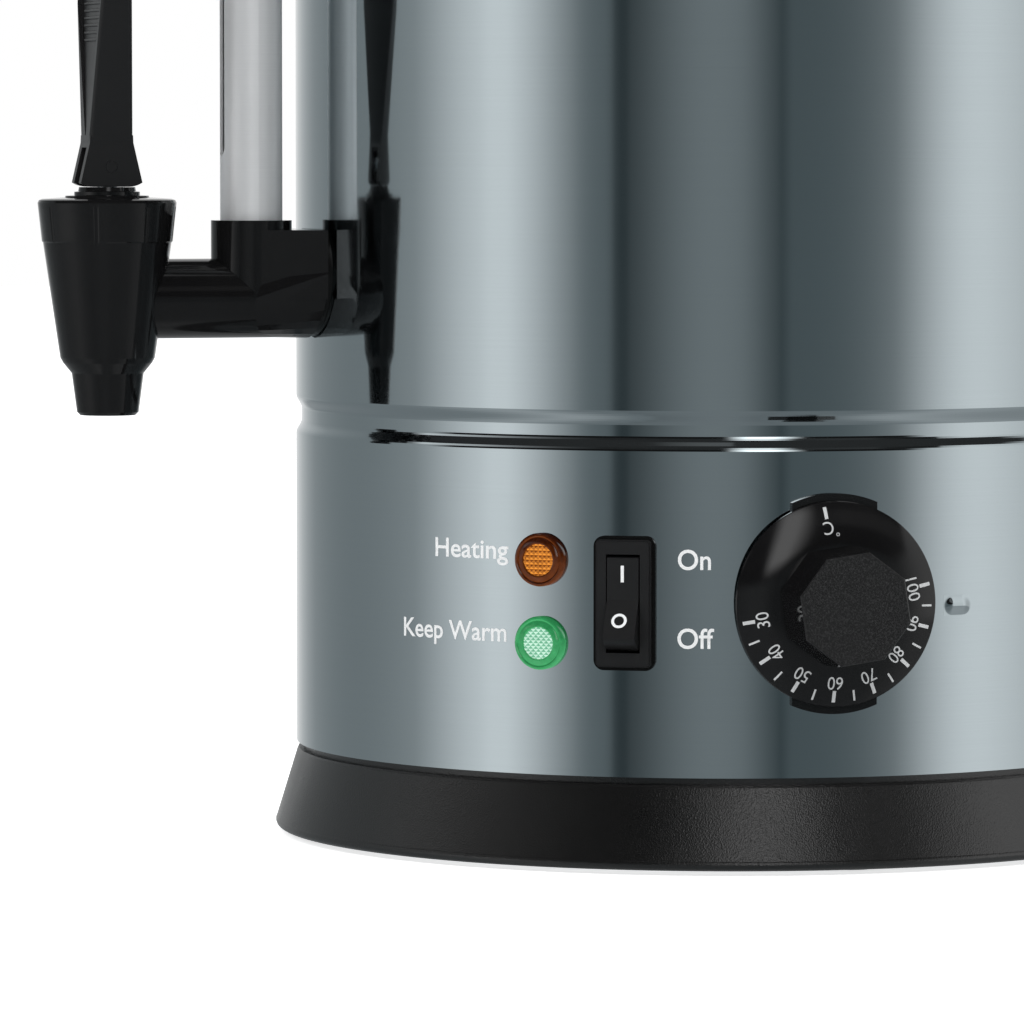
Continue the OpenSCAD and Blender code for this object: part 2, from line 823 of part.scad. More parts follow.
// Foot of the tee, lofted from the arm to a broad saddle on the wall
module tee_foot() {
    intersection() {
        hull($fn = 32) {
            arm(arm_r - 0.2, body_r + 17.5, body_r + 18, $fn = 32);
            arm(saddle_r, body_r - 2, body_r - 1.5, saddle_z, $fn = 32);
        }
        translate([-30, -body_r - 20, shank_z - 20]) cube([60, 30, tee_top - shank_z + 20]);
    }
}

module gauge_tee() {
    color(black) difference() {
        union() {
            difference() {
                union() {
                    tee_block();
                    tee_foot();
                    arm(arm_r, body_r - 2, body_r + tap_reach - 6);
                }
                urn_core(body_r + seal_t);
                tap_outline();
            }
            arm(shank_r, body_r - 14, body_r + 4);
        }
        arm(bore_r, body_r - 16, body_r + tap_reach);
        arm(spigot_r, spigot_end, body_r + tap_reach);
        translate([0, gauge_y, 0]) {
            translate([0, 0, tube_seat + 2]) cylinder(r = sleeve_r, h = 20);
            translate([0, 0, tube_seat]) cylinder(r = tube_r, h = 20);
            translate([0, 0, shank_z]) cylinder(r = 3.5, h = 20);
        }
    }
}

module tee_seal() {
    color(black) intersection() {
        translate([0, -body_r + 10, saddle_z]) rotate([90, 0, 0]) difference() {
            cylinder(r = saddle_r - 0.6, h = 20);
            translate([-30, tee_top - saddle_z - 0.6, -eps]) cube([60, 30, 30]);
            translate([0, shank_z - saddle_z, -eps]) cylinder(r = shank_r, h = 30);
        }
        translate([0, 0, shank_z - 20]) ring(body_r + seal_t, body_r, 50);
    }
}

washer_back = 2.6;

module shank_washer() {
    color(seal_colour) intersection() {
        difference() {
            arm(13, inner_r - washer_back, inner_r + 1);
            arm(shank_r, inner_r - washer_back - eps, inner_r + 2);
        }
        urn_core(inner_r);
    }
}

module shank_nut() {
    nut_r = 13.9;
    back = inner_r - washer_back;
    color(steel) difference() {
        arm(nut_r, back - 7, back, $fn = 6);
        arm(shank_r, back - 8, back + 1);
    }
}

sleeve_r = 8;
sleeve_t = 0.8;
tube_r = 6.4;
tube_t = 1.2;
tube_seat = shank_z + 10.5;         // the tube stands in a counterbore
sleeve_foot = tube_seat + 4.5;
sleeve_top = body_top - 22;
slot_w = 4.6;
slot_low = shank_z + 36.5;
slot_high = sleeve_top - 22;

module gauge_sleeve() {
    color([0.75, 0.75, 0.76]) translate([0, gauge_y, 0]) difference() {
        translate([0, 0, sleeve_foot]) ring(sleeve_r, sleeve_r - sleeve_t, sleeve_top - sleeve_foot);
        for (z = [slot_low + slot_w / 2, slot_high - slot_w / 2]) translate([0, 0, z])
            rotate([90, 0, 0]) cylinder(r = slot_w / 2, h = 20);
        translate([-slot_w / 2, -20, slot_low + slot_w / 2])
            cube([slot_w, 20, slot_high - slot_low - slot_w]);
    }
}

module sight_tube() {
    color([0.9, 0.95, 0.95, 0.4]) translate([0, gauge_y, tube_seat])
        ring(tube_r, tube_r - tube_t, sleeve_top - tube_seat);
}

module tube_seal() {
    color(seal_colour) translate([0, gauge_y, tube_seat + 2])
        ring(sleeve_r, tube_r, sleeve_foot - tube_seat - 2);
}

module gauge_cap() {
    color(black) translate([0, gauge_y, 0]) rotate_extrude() polygon([
        [1, sleeve_top], [sleeve_r, sleeve_top], [sleeve_r, sleeve_top - 8],
        [sleeve_r + 1.4, sleeve_top - 8], [sleeve_r + 1.4, sleeve_top + 1.5],
        [sleeve_r - 1.5, sleeve_top + 4.5], [1, sleeve_top + 4.5]
    ]);
}

// ---- tap -----------------------------------------------------------------------------------

tap_rim_z = shank_z + 14.5;         // seam between the tap's body and its bonnet
bonnet_top_r = 17.75;
bonnet_low_r = 16.7;
neck_top = shank_z + 28.6;          // the lever's heel rests on the bonnet's neck
seat_z = shank_z - 9;
outlet_z = shank_z - 29.6;
pin_z = neck_top + 5.2;
stem_r = 2.5;
tang_t = 4.8;
pin_r = 1.5;
flange_z = seat_z + 5;              // flange on the stem under the spring
roof_z = shank_z + 19;              // inside top of the bonnet

module tap_outline() {
    translate([0, tap_y, 0]) rotate_extrude() polygon([
        [0, outlet_z], [7.1, outlet_z], [7.9, outlet_z + 0.8], [9.2, shank_z - 18.9],
        [11.4, shank_z - 16.2], [12.1, shank_z - 14.9], [bonnet_low_r - 0.3, tap_rim_z],
        [0, tap_rim_z]
    ]);
}

module tap_body() {
    color(black) difference() {
        union() {
            tap_outline();
            arm(spigot_r, spigot_end, body_r + tap_reach);
        }
        translate([0, tap_y, 0]) rotate_extrude() polygon([
            [0, outlet_z - 1], [5.6, outlet_z - 1], [bore_r, seat_z - 3], [bore_r, seat_z],
            [6.5, seat_z], [6.5, seat_z - 1], [9.4, seat_z - 1], [11.2, shank_z + 6],
            [13, shank_z + 7], [13, tap_rim_z + 1], [0, tap_rim_z + 1]
        ]);
        arm(bore_r, spigot_end - 1, body_r + tap_reach);
    }
}

module tap_bonnet() {
    flutes = 8;
    skirt = neck_top - 4 - tap_rim_z;
    lean = atan((bonnet_top_r - bonnet_low_r) / skirt);
    color(black) translate([0, tap_y, 0]) difference() {
        rotate_extrude() polygon([
            [stem_r + fit, neck_top], [7.2, neck_top], [7.4, neck_top - 1],
            [8.4, neck_top - 1.2], [8.4, neck_top - 2], [10.6, neck_top - 2.2],
            [10.8, neck_top - 2.6], [16.6, neck_top - 3], [17.4, neck_top - 3.3],
            [bonnet_top_r, neck_top - 4], [bonnet_low_r, tap_rim_z + 0.3],
            [bonnet_low_r - 0.3, tap_rim_z], [13, tap_rim_z], [13, shank_z + 7.5],
            [9, shank_z + 7.5], [9, roof_z], [stem_r + fit, roof_z]
        ]);
        around(flutes, 22.5) translate([bonnet_low_r + 0.6, 0, tap_rim_z - 1])
            rotate([0, lean, 0]) cylinder(r = 1, h = skirt);
    }
}

module tap_stem() {
    color(steel) translate([0, tap_y, 0]) difference() {
        union() {
            translate([0, 0, seat_z + 2]) cylinder(r = stem_r, h = pin_z - seat_z - 4);
            translate([0, 0, flange_z]) cylinder(r = 6.2, h = 1);
            translate([0, 0, pin_z]) along_x(tang_t) circle(4);
        }
        translate([0, 0, pin_z]) rotate([0, 90, 0]) cylinder(r = pin_r, h = 20, center = true);
    }
}

module seat_cup() {
    color(seal_colour) translate([0, tap_y, 0]) rotate_extrude() polygon([
        [0, seat_z + fit], [6.6, seat_z + fit], [7.5, seat_z + 1], [7.5, seat_z + 1.8],
        [5.5, seat_z + 3.4], [4.2, flange_z], [stem_r, flange_z], [stem_r, seat_z + 2],
        [0, seat_z + 2]
    ]);
}

spring_wire = 0.55;
spring_ring = 5.1;
spring_turns = 6;
spring_sides = 8;
rings_per_turn = 16;

module tap_spring() {
    low = flange_z + 1 + spring_wire;
    high = roof_z - spring_wire;
    rings = spring_turns * rings_per_turn;
    points = [for (i = [0 : rings], j = [0 : spring_sides - 1])
        let (a = 360 * i / rings_per_turn, b = 360 * j / spring_sides,
             r = spring_ring + spring_wire * cos(b))
        [r * cos(a), r * sin(a), low + (high - low) * i / rings + spring_wire * sin(b)]
    ];
    sides = [for (i = [0 : rings - 1], j = [0 : spring_sides - 1])
        let (k = (j + 1) % spring_sides, n = spring_sides)
        [i * n + j, (i + 1) * n + j, (i + 1) * n + k, i * n + k]
    ];
    ends = [
        [for (j = [0 : spring_sides - 1]) j],
        [for (j = [spring_sides - 1 : -1 : 0]) rings * spring_sides + j]
    ];
    color(steel) translate([0, tap_y, 0]) polyhedron(points, concat(sides, ends));
}

module lever_pin() {
    color(steel) translate([0, tap_y, pin_z]) rotate([0, 90, 0])
        cylinder(r = pin_r, h = 10.4, center = true);
}

// The lever's heel is an involute cam: its depth below the pin grows evenly with the turn,
// so that the valve lifts in step with the lever
heel_depth = pin_z - neck_top - 0.1;
heel_rate = valve_lift / (lever_travel * PI / 180);
heel = [for (a = [0 : lever_travel / 8 : lever_travel])
    let (p = heel_depth + heel_rate * a * PI / 180)
    [-(p * sin(a) + heel_rate * cos(a)), heel_rate * sin(a) - p * cos(a)]
];

module lever_slab(w, t, z) {
    translate([0, 0, z]) linear_extrude(0.1) rounded_rect(w, t, 1.2, $fn = 24);
}

// Cutter for the hollow in the lever's front, from its back plane forward
module hollow_slab(w, back, z) {
    translate([-w / 2, -12, z]) cube([w, 12 - back, 0.1]);
}

module tap_lever() {
    fork_gap = 5.2;
    fork_roof = 4.9;
    wide_z = 41.5;                  // height above the pin of the paddle's full taper
    top_half = 15;
    top_round = 8;
    lean_y = -0.5;                  // the paddle stands a little forward of the pin
    hollow_w = 25.2;                // width and back plane of the hollow at that height
    hollow_y = 3.25;
    rib_pitch = 1.87;
    rib_low = 32.3;
    rib_count = 14;
    rib_r = 0.45;
    rib_share = 0.72;               // share of the hollow's width
    color(black) translate([0, tap_y, pin_z]) difference() {
        union() {
            along_x(10.4) polygon(concat(
                heel, [[-5.7, 6], [-5.6, 8], [5.6, 8], [5.7, 6]],
                [for (p = reversed(heel)) [-p[0], p[1]]]
            ));
            hull() {
                lever_slab(10.4, 11.4, 6.5);
                translate([0, lean_y, 0]) lever_slab(28, 8.1, wide_z);
            }
            translate([0, lean_y, 0]) hull() {
                lever_slab(28, 8.1, wide_z);
                lever_slab(2 * top_half, 7.4, 52);
                for (s = [-1, 1]) translate([s * (top_half - top_round), 0, 56])
                    rotate([90, 0, 0]) cylinder(r = top_round, h = 6.6, center = true, $fn = 32);
            }
        }
        along_x(fork_gap) translate([-10, -10]) square([20, 10 + fork_roof]);
        rotate([0, 90, 0]) cylinder(r = pin_r + fit, h = 20, center = true);
        hull() {
            hollow_slab(0.6, 5.5, 8);
            hollow_slab(hollow_w, hollow_y, wide_z);
        }
        hull() {
            hollow_slab(hollow_w, hollow_y, wide_z);
            hollow_slab(27.4, 2.8, 52);
            hollow_slab(19, 2.5, 61);
        }
    }
    // grip ribs in the hollow
    color(black) translate([0, tap_y, pin_z]) for (i = [0 : rib_count - 1]) {
        z = rib_low + i * rib_pitch;
        back = hollow_y + (wide_z - z) * (z < wide_z ? 0.067 : 0.043);
        w = z < wide_z ? hollow_w - (wide_z - z) * 0.734 : hollow_w;
        translate([0, -back, z]) rotate([0, 90, 0])
            cylinder(r = rib_r, h = w * rib_share, center = true);
    }
}

// ---- lid -------------------------------------------------------------------------------------

lid_edge = body_r - sheet_t + 2 * curl_r + 0.4; // inside of the lid's lip, round the curl
dome_r = 106;                       // radius of the domed part
dome_z = rim_z + 4;

module lid_profile() {
    // lip, rim on the curl, step and guide ring
    translate([lid_edge, rim_z - 3]) square([sheet_t, 3 + sheet_t]);
    translate([dome_r + 2, rim_z]) square([lid_edge + sheet_t - dome_r - 2, sheet_t]);
    translate([inner_r - 1.8, rim_z - 12]) square([sheet_t, 12 + sheet_t]);
    polygon([
        [dome_r + 2, rim_z], [dome_r + 3, rim_z + sheet_t],
        [dome_r + 0.8, dome_z + sheet_t], [dome_r - 0.6, dome_z]
    ]);
    // spherical dome through the step's top and the middle
    big = (dome_r * dome_r + dome_h * dome_h) / (2 * dome_h);
    intersection() {
        translate([0, dome_z + dome_h - big]) difference() {
            circle(big + sheet_t, $fn = 360);
            circle(big, $fn = 360);
        }
        translate([0, dome_z - 0.2]) square([dome_r + 0.5, dome_h + 4]);
    }
}

module lid() {
    color(steel) difference() {
        rotate_extrude() lid_profile();
        translate([0, 0, dome_z]) cylinder(r = 2.2, h = 40);
        translate([70, 0, dome_z]) cylinder(r = 1.8, h = 40);
    }
}

knob_z = dome_z + dome_h + sheet_t;

module lid_knob() {
    color(black) translate([0, 0, knob_z]) rotate_extrude() difference() {
        union() {
            polygon([
                [0, 0.4], [12, 0.4], [12, -0.12], [15, -0.18], [16, 1.2], [15.4, 3], [11, 6.5],
                [9.6, 11], [10.5, 15], [17, 18], [17, 22], [0, 26]
            ]);
            translate([17, 20]) circle(2);
            polygon([[0, 22], [17, 22], [13, 24.4], [7, 25.8], [0, 26.2]]);
        }
        square([2, 17]);
    }
}

module knob_washer() {
    color(seal_colour) translate([0, 0, knob_z - sheet_t - 1.8]) ring(7, 2, 1.5);
}

module knob_screw() {
    color(zinc) translate([0, 0, knob_z - sheet_t - 1.8]) screw(2, 18, 4, 2.4);
}

// ---- nodes -----------------------------------------------------------------------------------

outer_shell();
base_skirt();
bottom_cover();
rubber_feet();
foot_screws();
base_screws();
tank_base();
heating_plate();
heating_element();
element_insulators();
thermal_cutout();
cutout_screws();
thermostat_body();
thermostat_bulb();
bulb_clip();
thermostat_screws();
dial_backplate();
dial_shaft();
dial_knob();
switch_gasket();
switch_housing();
switch_rocker();
lamp_lens_amber();
lamp_lens_green();
lamp_bodies();
lamp_clips();
power_inlet();
inlet_pins();
inlet_screws();
wiring_loom();
handle_left();
handle_right();
handle_screws();
handle_washers();
gauge_tee();
tee_seal();
shank_washer();
shank_nut();
gauge_sleeve();
sight_tube();
tube_seal();
gauge_cap();
tap_body();
tap_bonnet();
tap_stem();
seat_cup();
tap_spring();
lever_pin();
tap_lever();
lid();
lid_knob();
knob_screw();
knob_washer();
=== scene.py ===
import math

import bpy
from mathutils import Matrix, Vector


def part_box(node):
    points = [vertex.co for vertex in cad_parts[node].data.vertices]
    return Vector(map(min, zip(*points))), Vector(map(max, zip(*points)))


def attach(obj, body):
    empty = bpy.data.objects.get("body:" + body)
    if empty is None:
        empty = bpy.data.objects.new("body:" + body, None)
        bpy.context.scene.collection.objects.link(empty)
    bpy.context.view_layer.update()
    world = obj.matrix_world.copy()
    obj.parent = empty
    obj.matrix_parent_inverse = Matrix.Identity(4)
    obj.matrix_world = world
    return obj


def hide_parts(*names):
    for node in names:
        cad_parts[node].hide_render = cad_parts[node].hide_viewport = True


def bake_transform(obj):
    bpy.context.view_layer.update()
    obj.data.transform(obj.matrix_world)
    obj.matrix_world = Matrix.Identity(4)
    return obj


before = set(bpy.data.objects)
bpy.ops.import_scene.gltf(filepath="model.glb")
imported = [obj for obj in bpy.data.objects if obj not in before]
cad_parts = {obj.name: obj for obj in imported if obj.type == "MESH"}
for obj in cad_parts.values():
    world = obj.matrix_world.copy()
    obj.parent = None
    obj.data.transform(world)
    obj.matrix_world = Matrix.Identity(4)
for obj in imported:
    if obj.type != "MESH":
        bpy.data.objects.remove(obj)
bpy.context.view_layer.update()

# ---- studio ------------------------------------------------------------------------------
# A pale floor and a room of soft panels. Smooth metal shows the room's light and dark
# bands, and everything else is lit evenly.

VIEW_AZIMUTH = 71.3                 # of the camera, degrees round from the tap
VIEW_TILT, VIEW_TURN = 86.705, 1.819        # up from straight down, and round from the axis
camera = bpy.data.objects.new("camera", bpy.data.cameras.new("camera"))
bpy.context.collection.objects.link(camera)
camera.data.lens = 232.7
camera.data.sensor_width = 36
camera.location = (1.6491, -0.5582, 0.1835)
camera.rotation_euler = (math.radians(VIEW_TILT), 0, math.radians(VIEW_AZIMUTH + VIEW_TURN))
bpy.context.scene.camera = camera
bpy.context.scene.view_settings.view_transform = "Standard"


def nodes_of(tree):
    """A short way to add nodes: add(type, inputs, **settings) returns the node."""

    def add(kind, inputs=None, **settings):
        node = tree.nodes.new(kind)
        for key, value in settings.items():
            setattr(node, key, value)
        for key, value in (inputs or {}).items():
            socket = node.inputs[key]
            if isinstance(value, bpy.types.NodeSocket):
                tree.links.new(value, socket)
            else:
                socket.default_value = value
        return node

    return add


def ramp(add, value, stops, interpolation="LINEAR"):
    """A colour ramp of (position, grey or colour) stops."""
    node = add("ShaderNodeValToRGB", {"Fac": value})
    node.color_ramp.interpolation = interpolation
    points = node.color_ramp.elements
    while len(points) < len(stops):
        points.new(0.5)
    for point, (place, tone) in zip(points, stops):
        point.position = place
        point.color = (tone, tone, tone, 1) if isinstance(tone, (int, float)) else (*tone, 1)
    return node.outputs["Color"]


def all_round(add, along, stops, interpolation="LINEAR"):
    """A ramp round the room, with its stops in degrees from the camera's side."""
    return ramp(add, along, [((a + 180) / 360, tone) for a, tone in stops], interpolation)


def by(add, a, b, operation="MULTIPLY"):
    """One step of arithmetic."""
    return add("ShaderNodeMath", {0: a, 1: b}, operation=operation).outputs[0]


def vector(add, operation, *parts, result="Vector", **sockets):
    """One step of vector arithmetic."""
    inputs = {**dict(enumerate(parts)), **sockets}
    return add("ShaderNodeVectorMath", inputs, operation=operation).outputs[result]


def mix(add, share, first, second):
    """Turns the first colour into the second by a share."""
    return add("ShaderNodeMix", {
        0: share, 6: first, 7: second,
    }, data_type="RGBA").outputs[2]


world = bpy.data.worlds.new("room")
bpy.context.scene.world = world
world.use_nodes = True
world.node_tree.nodes.clear()
add = nodes_of(world.node_tree)
# what stands round the room, in degrees from the camera's side: from, to and how light it is
ROOM_BANDS = [
    (-180, -172, 0.95),  # backdrop
    (-142, -90, 0.25),   # wall
    (-67, -56, 1.05),    # window
    (-40, -30, 0.20),    # wall beside it
    (-28, -24, 0.05),    # dark gap
    (-9, 5, 0.28),       # wall behind the camera
    (14, 16, 0.08),      # dark gap
    (18, 46, 0.14),      # wall in shade
    (63, 78, 1.0),       # window
    (100, 130, 0.60),    # pale wall
    (172, 180, 0.95),    # backdrop
]
way = add("ShaderNodeTexCoord").outputs["Generated"]
turned = add("ShaderNodeVectorRotate", {
    "Vector": way, "Angle": math.radians(-VIEW_AZIMUTH),
}, rotation_type="Z_AXIS").outputs["Vector"]
turned = add("ShaderNodeSeparateXYZ", {"Vector": turned}).outputs
along = add("ShaderNodeMapRange", {
    "Value": by(add, turned["X"], by(add, turned["Y"], -1.0), "ARCTAN2"),
    "From Min": -math.pi, "From Max": math.pi,
}).outputs["Result"]
# the darker a band, the bluer it is
LESS_RED, MORE_BLUE = 0.30, 0.10
bands = all_round(add, along, [
    (a, (t * (1 - LESS_RED * (1 - t) ** 4), t, t * (1 + MORE_BLUE * (1 - t) ** 4)))
    for start, end, t in ROOM_BANDS
    for a in (start, end)
], "B_SPLINE")
# above the bands the room is dark, with long white panels right overhead
up = turned["Z"]
level = by(add, up, 0.02, "MAXIMUM")
level = add("ShaderNodeCombineXYZ", {"X": level, "Y": level, "Z": level}).outputs[0]
panels = add("ShaderNodeTexBrick", {
    "Vector": vector(add, "DIVIDE", way, level),
    "Color1": (0.95, 0.95, 0.95, 1), "Color2": (0.85, 0.87, 0.88, 1),
    "Mortar": (0.10, 0.10, 0.10, 1), "Scale": 1.0, "Mortar Size": 0.16,
    "Mortar Smooth": 0.1, "Brick Width": 1.1, "Row Height": 0.7,
}).outputs["Color"]
HIGH_WALLS = [
    (-180, 1.1), (-119, 1.1), (-95, 0.95), (-80, 0.65), (-62, 0.33), (-48, 0.12),
    (-35, 0.02), (5, 0.02), (20, 0.06), (33, 0.18), (60, 0.14), (80, 0.12), (180, 0.90),
]
# the dark part begins higher towards the sides, and gives way to the walls sooner
DARK_FROM = [
    (-180, 0.60), (-102, 0.45), (-92, 0.16), (-75, 0.05), (-40, 0.0), (22, 0.0), (45, 0.05),
    (57, 0.16), (66, 0.45), (180, 0.60),
]
rise = all_round(add, along, DARK_FROM)
over_edge = by(add, up, rise, "SUBTRACT")
over_dark = by(add, up, by(add, rise, 0.6), "ADD")
wall_share = ramp(add, over_dark, [(0.34, 0.0), (0.42, 1.0), (0.53, 1.0), (0.61, 0.0)])
dark = ramp(add, up, [(0.50, 0.012), (0.62, 0.034)])
high = mix(add, wall_share, dark, all_round(add, along, HIGH_WALLS))
upper = mix(add, ramp(add, up, [(0.84, 0.0), (0.95, 1.0)]), high, panels)
# towards the ground the bands fade into grey
GROUND_GREY = (0.245, 0.265, 0.275, 1)
lower = mix(add, ramp(add, by(add, up, -1.0), [(0.135, 0.0), (0.20, 0.72)]), bands, GROUND_GREY)
seen_in_metal = mix(add, ramp(add, over_edge, [(0.03, 0.0), (0.10, 1.0)]), lower, upper)
# one tall soft panel right of the camera gives the highlights
PANEL_LIGHT = (2.3, 2.3, 2.3, 1)
panel = by(add, all_round(add, along, [(1, 0), (7, 1), (14, 1), (22, 0)]),
           ramp(add, up, [(0.08, 0.0), (0.16, 1.0), (0.56, 1.0), (0.68, 0.0)]))
seen_in_metal = mix(add, panel, seen_in_metal, PANEL_LIGHT)
# matt pieces are lit by even grey, and what is seen straight or through glass is white
EVEN_LIGHT = (0.62, 0.63, 0.64, 1)
path = add("ShaderNodeLightPath").outputs
shown = mix(add, path["Is Glossy Ray"], EVEN_LIGHT, seen_in_metal)
straight = by(add, path["Is Camera Ray"], path["Is Transmission Ray"], "MAXIMUM")
shown = mix(add, straight, shown, (1, 1, 1, 1))
lit = add("ShaderNodeBackground", {"Color": shown})
add("ShaderNodeOutputWorld", {"Surface": lit.outputs[0]})

# the floor glows a little to the camera, so that it is as white as the room, and metal
# doesn't mirror it
FLOOR_GLOW = 0.68
bpy.ops.object.select_all(action="DESELECT")
bpy.ops.mesh.primitive_plane_add(size=12)
floor = bpy.context.object
floor.name = "floor"
floor_look = bpy.data.materials.new("floor")
floor_look.use_nodes = True
floor_look.node_tree.nodes.clear()
add = nodes_of(floor_look.node_tree)
pale = add("ShaderNodeBsdfDiffuse", {"Color": (0.97, 0.97, 0.97, 1)})
path = add("ShaderNodeLightPath").outputs
white = add("ShaderNodeEmission", {
    "Color": (1, 1, 1, 1), "Strength": by(add, path["Is Camera Ray"], FLOOR_GLOW),
})
lifted = add("ShaderNodeAddShader", {0: pale.outputs[0], 1: white.outputs[0]})
gone = add("ShaderNodeBsdfTransparent")
seen = add("ShaderNodeMixShader", {
    0: path["Is Glossy Ray"], 1: lifted.outputs[0], 2: gone.outputs[0],
})
add("ShaderNodeOutputMaterial", {"Surface": seen.outputs[0]})
floor.data.materials.append(floor_look)

# soft lamps round the urn, turned to its axis
LAMP_FAR, LAMP_AIM = 2.2, 0.1       # from the axis, and the height that they face
for name, azimuth, rise, width, height, power, mirrored in [
    ("lamp_key", 83, 38, 0.4, 0.9, 13, False),
    ("lamp_side", 150, 35, 0.7, 1.4, 5, False),
    ("lamp_fill", 10, 40, 1.4, 1.4, 11, False),
    ("lamp_back", 235, 42, 0.3, 1.2, 8, True),
]:
    lamp = bpy.data.objects.new(name, bpy.data.lights.new(name, "AREA"))
    bpy.context.collection.objects.link(lamp)
    lamp.data.shape = "RECTANGLE"
    lamp.data.size = width
    lamp.data.size_y = height
    lamp.data.energy = power
    lamp.visible_glossy = mirrored
    a, e = math.radians(azimuth), math.radians(rise)
    out = LAMP_FAR * math.cos(e)
    lamp.location = (out * math.sin(a), -out * math.cos(a), LAMP_FAR * math.sin(e) + LAMP_AIM)
    lamp.rotation_euler = (math.pi / 2 - e, 0, a)

# ---- base --------------------------------------------------------------------------------
# The flared skirt is moulded in black plastic with a fine spark-eroded grain. A pressed
# zinc-plated cover closes it, on four rubber feet held by screws.


def finish(name, base, roughness, metallic=0.0, **sockets):
    """A material with a plain Principled shader, and the means to add nodes to it."""
    look = bpy.data.materials.new(name)
    look.use_nodes = True
    shader = look.node_tree.nodes["Principled BSDF"]
    shader.inputs["Base Color"].default_value = (*base, 1)
    shader.inputs["Roughness"].default_value = roughness
    shader.inputs["Metallic"].default_value = metallic
    for key, value in sockets.items():
        shader.inputs[key.replace("_", " ")].default_value = value
    return look, nodes_of(look.node_tree), shader


def feed(look, shader, **sources):
    """Links node outputs to the shader's sockets."""
    for key, source in sources.items():
        look.node_tree.links.new(source, shader.inputs[key.replace("_", " ")])


def dress(look, *names):
    """Gives the frame's nodes one material."""
    for name in names:
        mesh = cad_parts[name].data
        mesh.materials.clear()
        mesh.materials.append(look)


def effect(name, inputs, outputs):
    """An empty node group with the named inputs {name: default} and outputs."""
    group = bpy.data.node_groups.new(name, "ShaderNodeTree")
    kinds = {float: "NodeSocketFloat", tuple: "NodeSocketColor"}
    group.interface.new_socket("Vector", in_out="INPUT", socket_type="NodeSocketVector")
    for key, value in inputs.items():
        socket = group.interface.new_socket(key, in_out="INPUT", socket_type=kinds[type(value)])
        socket.default_value = value
    for key, kind in outputs.items():
        group.interface.new_socket(key, in_out="OUTPUT", socket_type=kinds[kind])
    return group, nodes_of(group), group.nodes.new("NodeGroupInput").outputs


def own_place(add):
    """The piece's own coordinates, in metres."""
    return add("ShaderNodeTexCoord").outputs["Object"]


def place_effect(add, group, inputs):
    """A node group in a material, on the piece's own coordinates."""
    return add("ShaderNodeGroup", {"Vector": own_place(add), **inputs}, node_tree=group).outputs


def noise(add, place, scale, detail, roughness=0.5):
    """Cloudy noise with a number of changes per metre."""
    return add("ShaderNodeTexNoise", {
        "Vector": place, "Scale": scale, "Detail": detail, "Roughness": roughness,
    }).outputs["Fac"]


# moulded plastic: eroded grain for the height, faint blotches in tone and gloss
MOULDED, add, given = effect(
    "moulded plastic",
    {"Grain per metre": 2500.0, "Tone": (0.02, 0.02, 0.02, 1), "Gloss low": 0.3, "Gloss high": 0.4},
    {"Colour": tuple, "Roughness": float, "Height": float},
)
pits = add("ShaderNodeTexVoronoi", {
    "Vector": given["Vector"], "Scale": given["Grain per metre"], "Randomness": 1.0,
}).outputs["Distance"]
swell = noise(add, given["Vector"], by(add, given["Grain per metre"], 0.55), 3.0)
grain = by(add, pits, swell)
cloud = noise(add, given["Vector"], 38.0, 5.0, 0.62)
DUST, DUST_SHARE = (0.32, 0.31, 0.30, 1), 0.012
dusted = mix(add, by(add, cloud, DUST_SHARE), given["Tone"], DUST)
rubbed = add("ShaderNodeMapRange", {
    "Value": cloud, "From Min": 0.35, "From Max": 0.65,
    "To Min": given["Gloss low"], "To Max": given["Gloss high"],
}).outputs["Result"]
add("NodeGroupOutput", {"Colour": dusted, "Roughness": rubbed, "Height": grain})

# turned or rolled metal: fine lines round the urn's axis, with cloudy gloss
ROLLED, add, given = effect(
    "rolled metal",
    {"Lines per metre": 9000.0, "Tone": (0.6, 0.6, 0.6, 1), "Gloss low": 0.1, "Gloss high": 0.2},
    {"Colour": tuple, "Roughness": float, "Height": float},
)
LENGTHWISE = 22.0                   # changes per metre along a line
xyz = add("ShaderNodeSeparateXYZ", {"Vector": given["Vector"]}).outputs
stretched = add("ShaderNodeCombineXYZ", {
    "X": by(add, xyz["X"], LENGTHWISE), "Y": by(add, xyz["Y"], LENGTHWISE),
    "Z": by(add, xyz["Z"], given["Lines per metre"]),
}).outputs[0]
lines = noise(add, stretched, 1.0, 4.0)
cloud = noise(add, given["Vector"], 24.0, 4.0)
mixed = add("ShaderNodeMix", {0: 0.45, 2: cloud, 3: lines}).outputs[0]
rubbed = add("ShaderNodeMapRange", {
    "Value": mixed, "From Min": 0.35, "From Max": 0.65,
    "To Min": given["Gloss low"], "To Max": given["Gloss high"],
}).outputs["Result"]
WEAR, WEAR_SHARE = (0.22, 0.23, 0.24, 1), 0.10
worn = mix(add, by(add, lines, WEAR_SHARE), given["Tone"], WEAR)
add("NodeGroupOutput", {"Colour": worn, "Roughness": rubbed, "Height": lines})

# round pieces: the sideways part of the normal is made exactly radial, so that a reflection
# runs on over the seams between the faces
ROUND, add, given = effect("round piece", {}, {"Normal": tuple})
normal = add("ShaderNodeNewGeometry").outputs["Normal"]
SIDEWAYS, UPWARD = (1, 1, 0), (0, 0, 1)
spoke = vector(add, "NORMALIZE", vector(add, "MULTIPLY", given["Vector"], SIDEWAYS))
level = vector(add, "MULTIPLY", normal, SIDEWAYS)
length = vector(add, "LENGTH", level, result="Value")
share = vector(add, "DOT_PRODUCT", level, spoke, result="Value")
NEARLY_RADIAL = 0.985               # cosine between the sideways normal and the spoke
turned_out = add("ShaderNodeMath", {0: share}, operation="ABSOLUTE").outputs[0]
radial = by(add, by(add, turned_out, length, "DIVIDE"), NEARLY_RADIAL, "GREATER_THAN")
upright = vector(add, "MULTIPLY", normal, UPWARD)
exact = vector(add, "ADD", vector(add, "SCALE", spoke, Scale=share), upright)
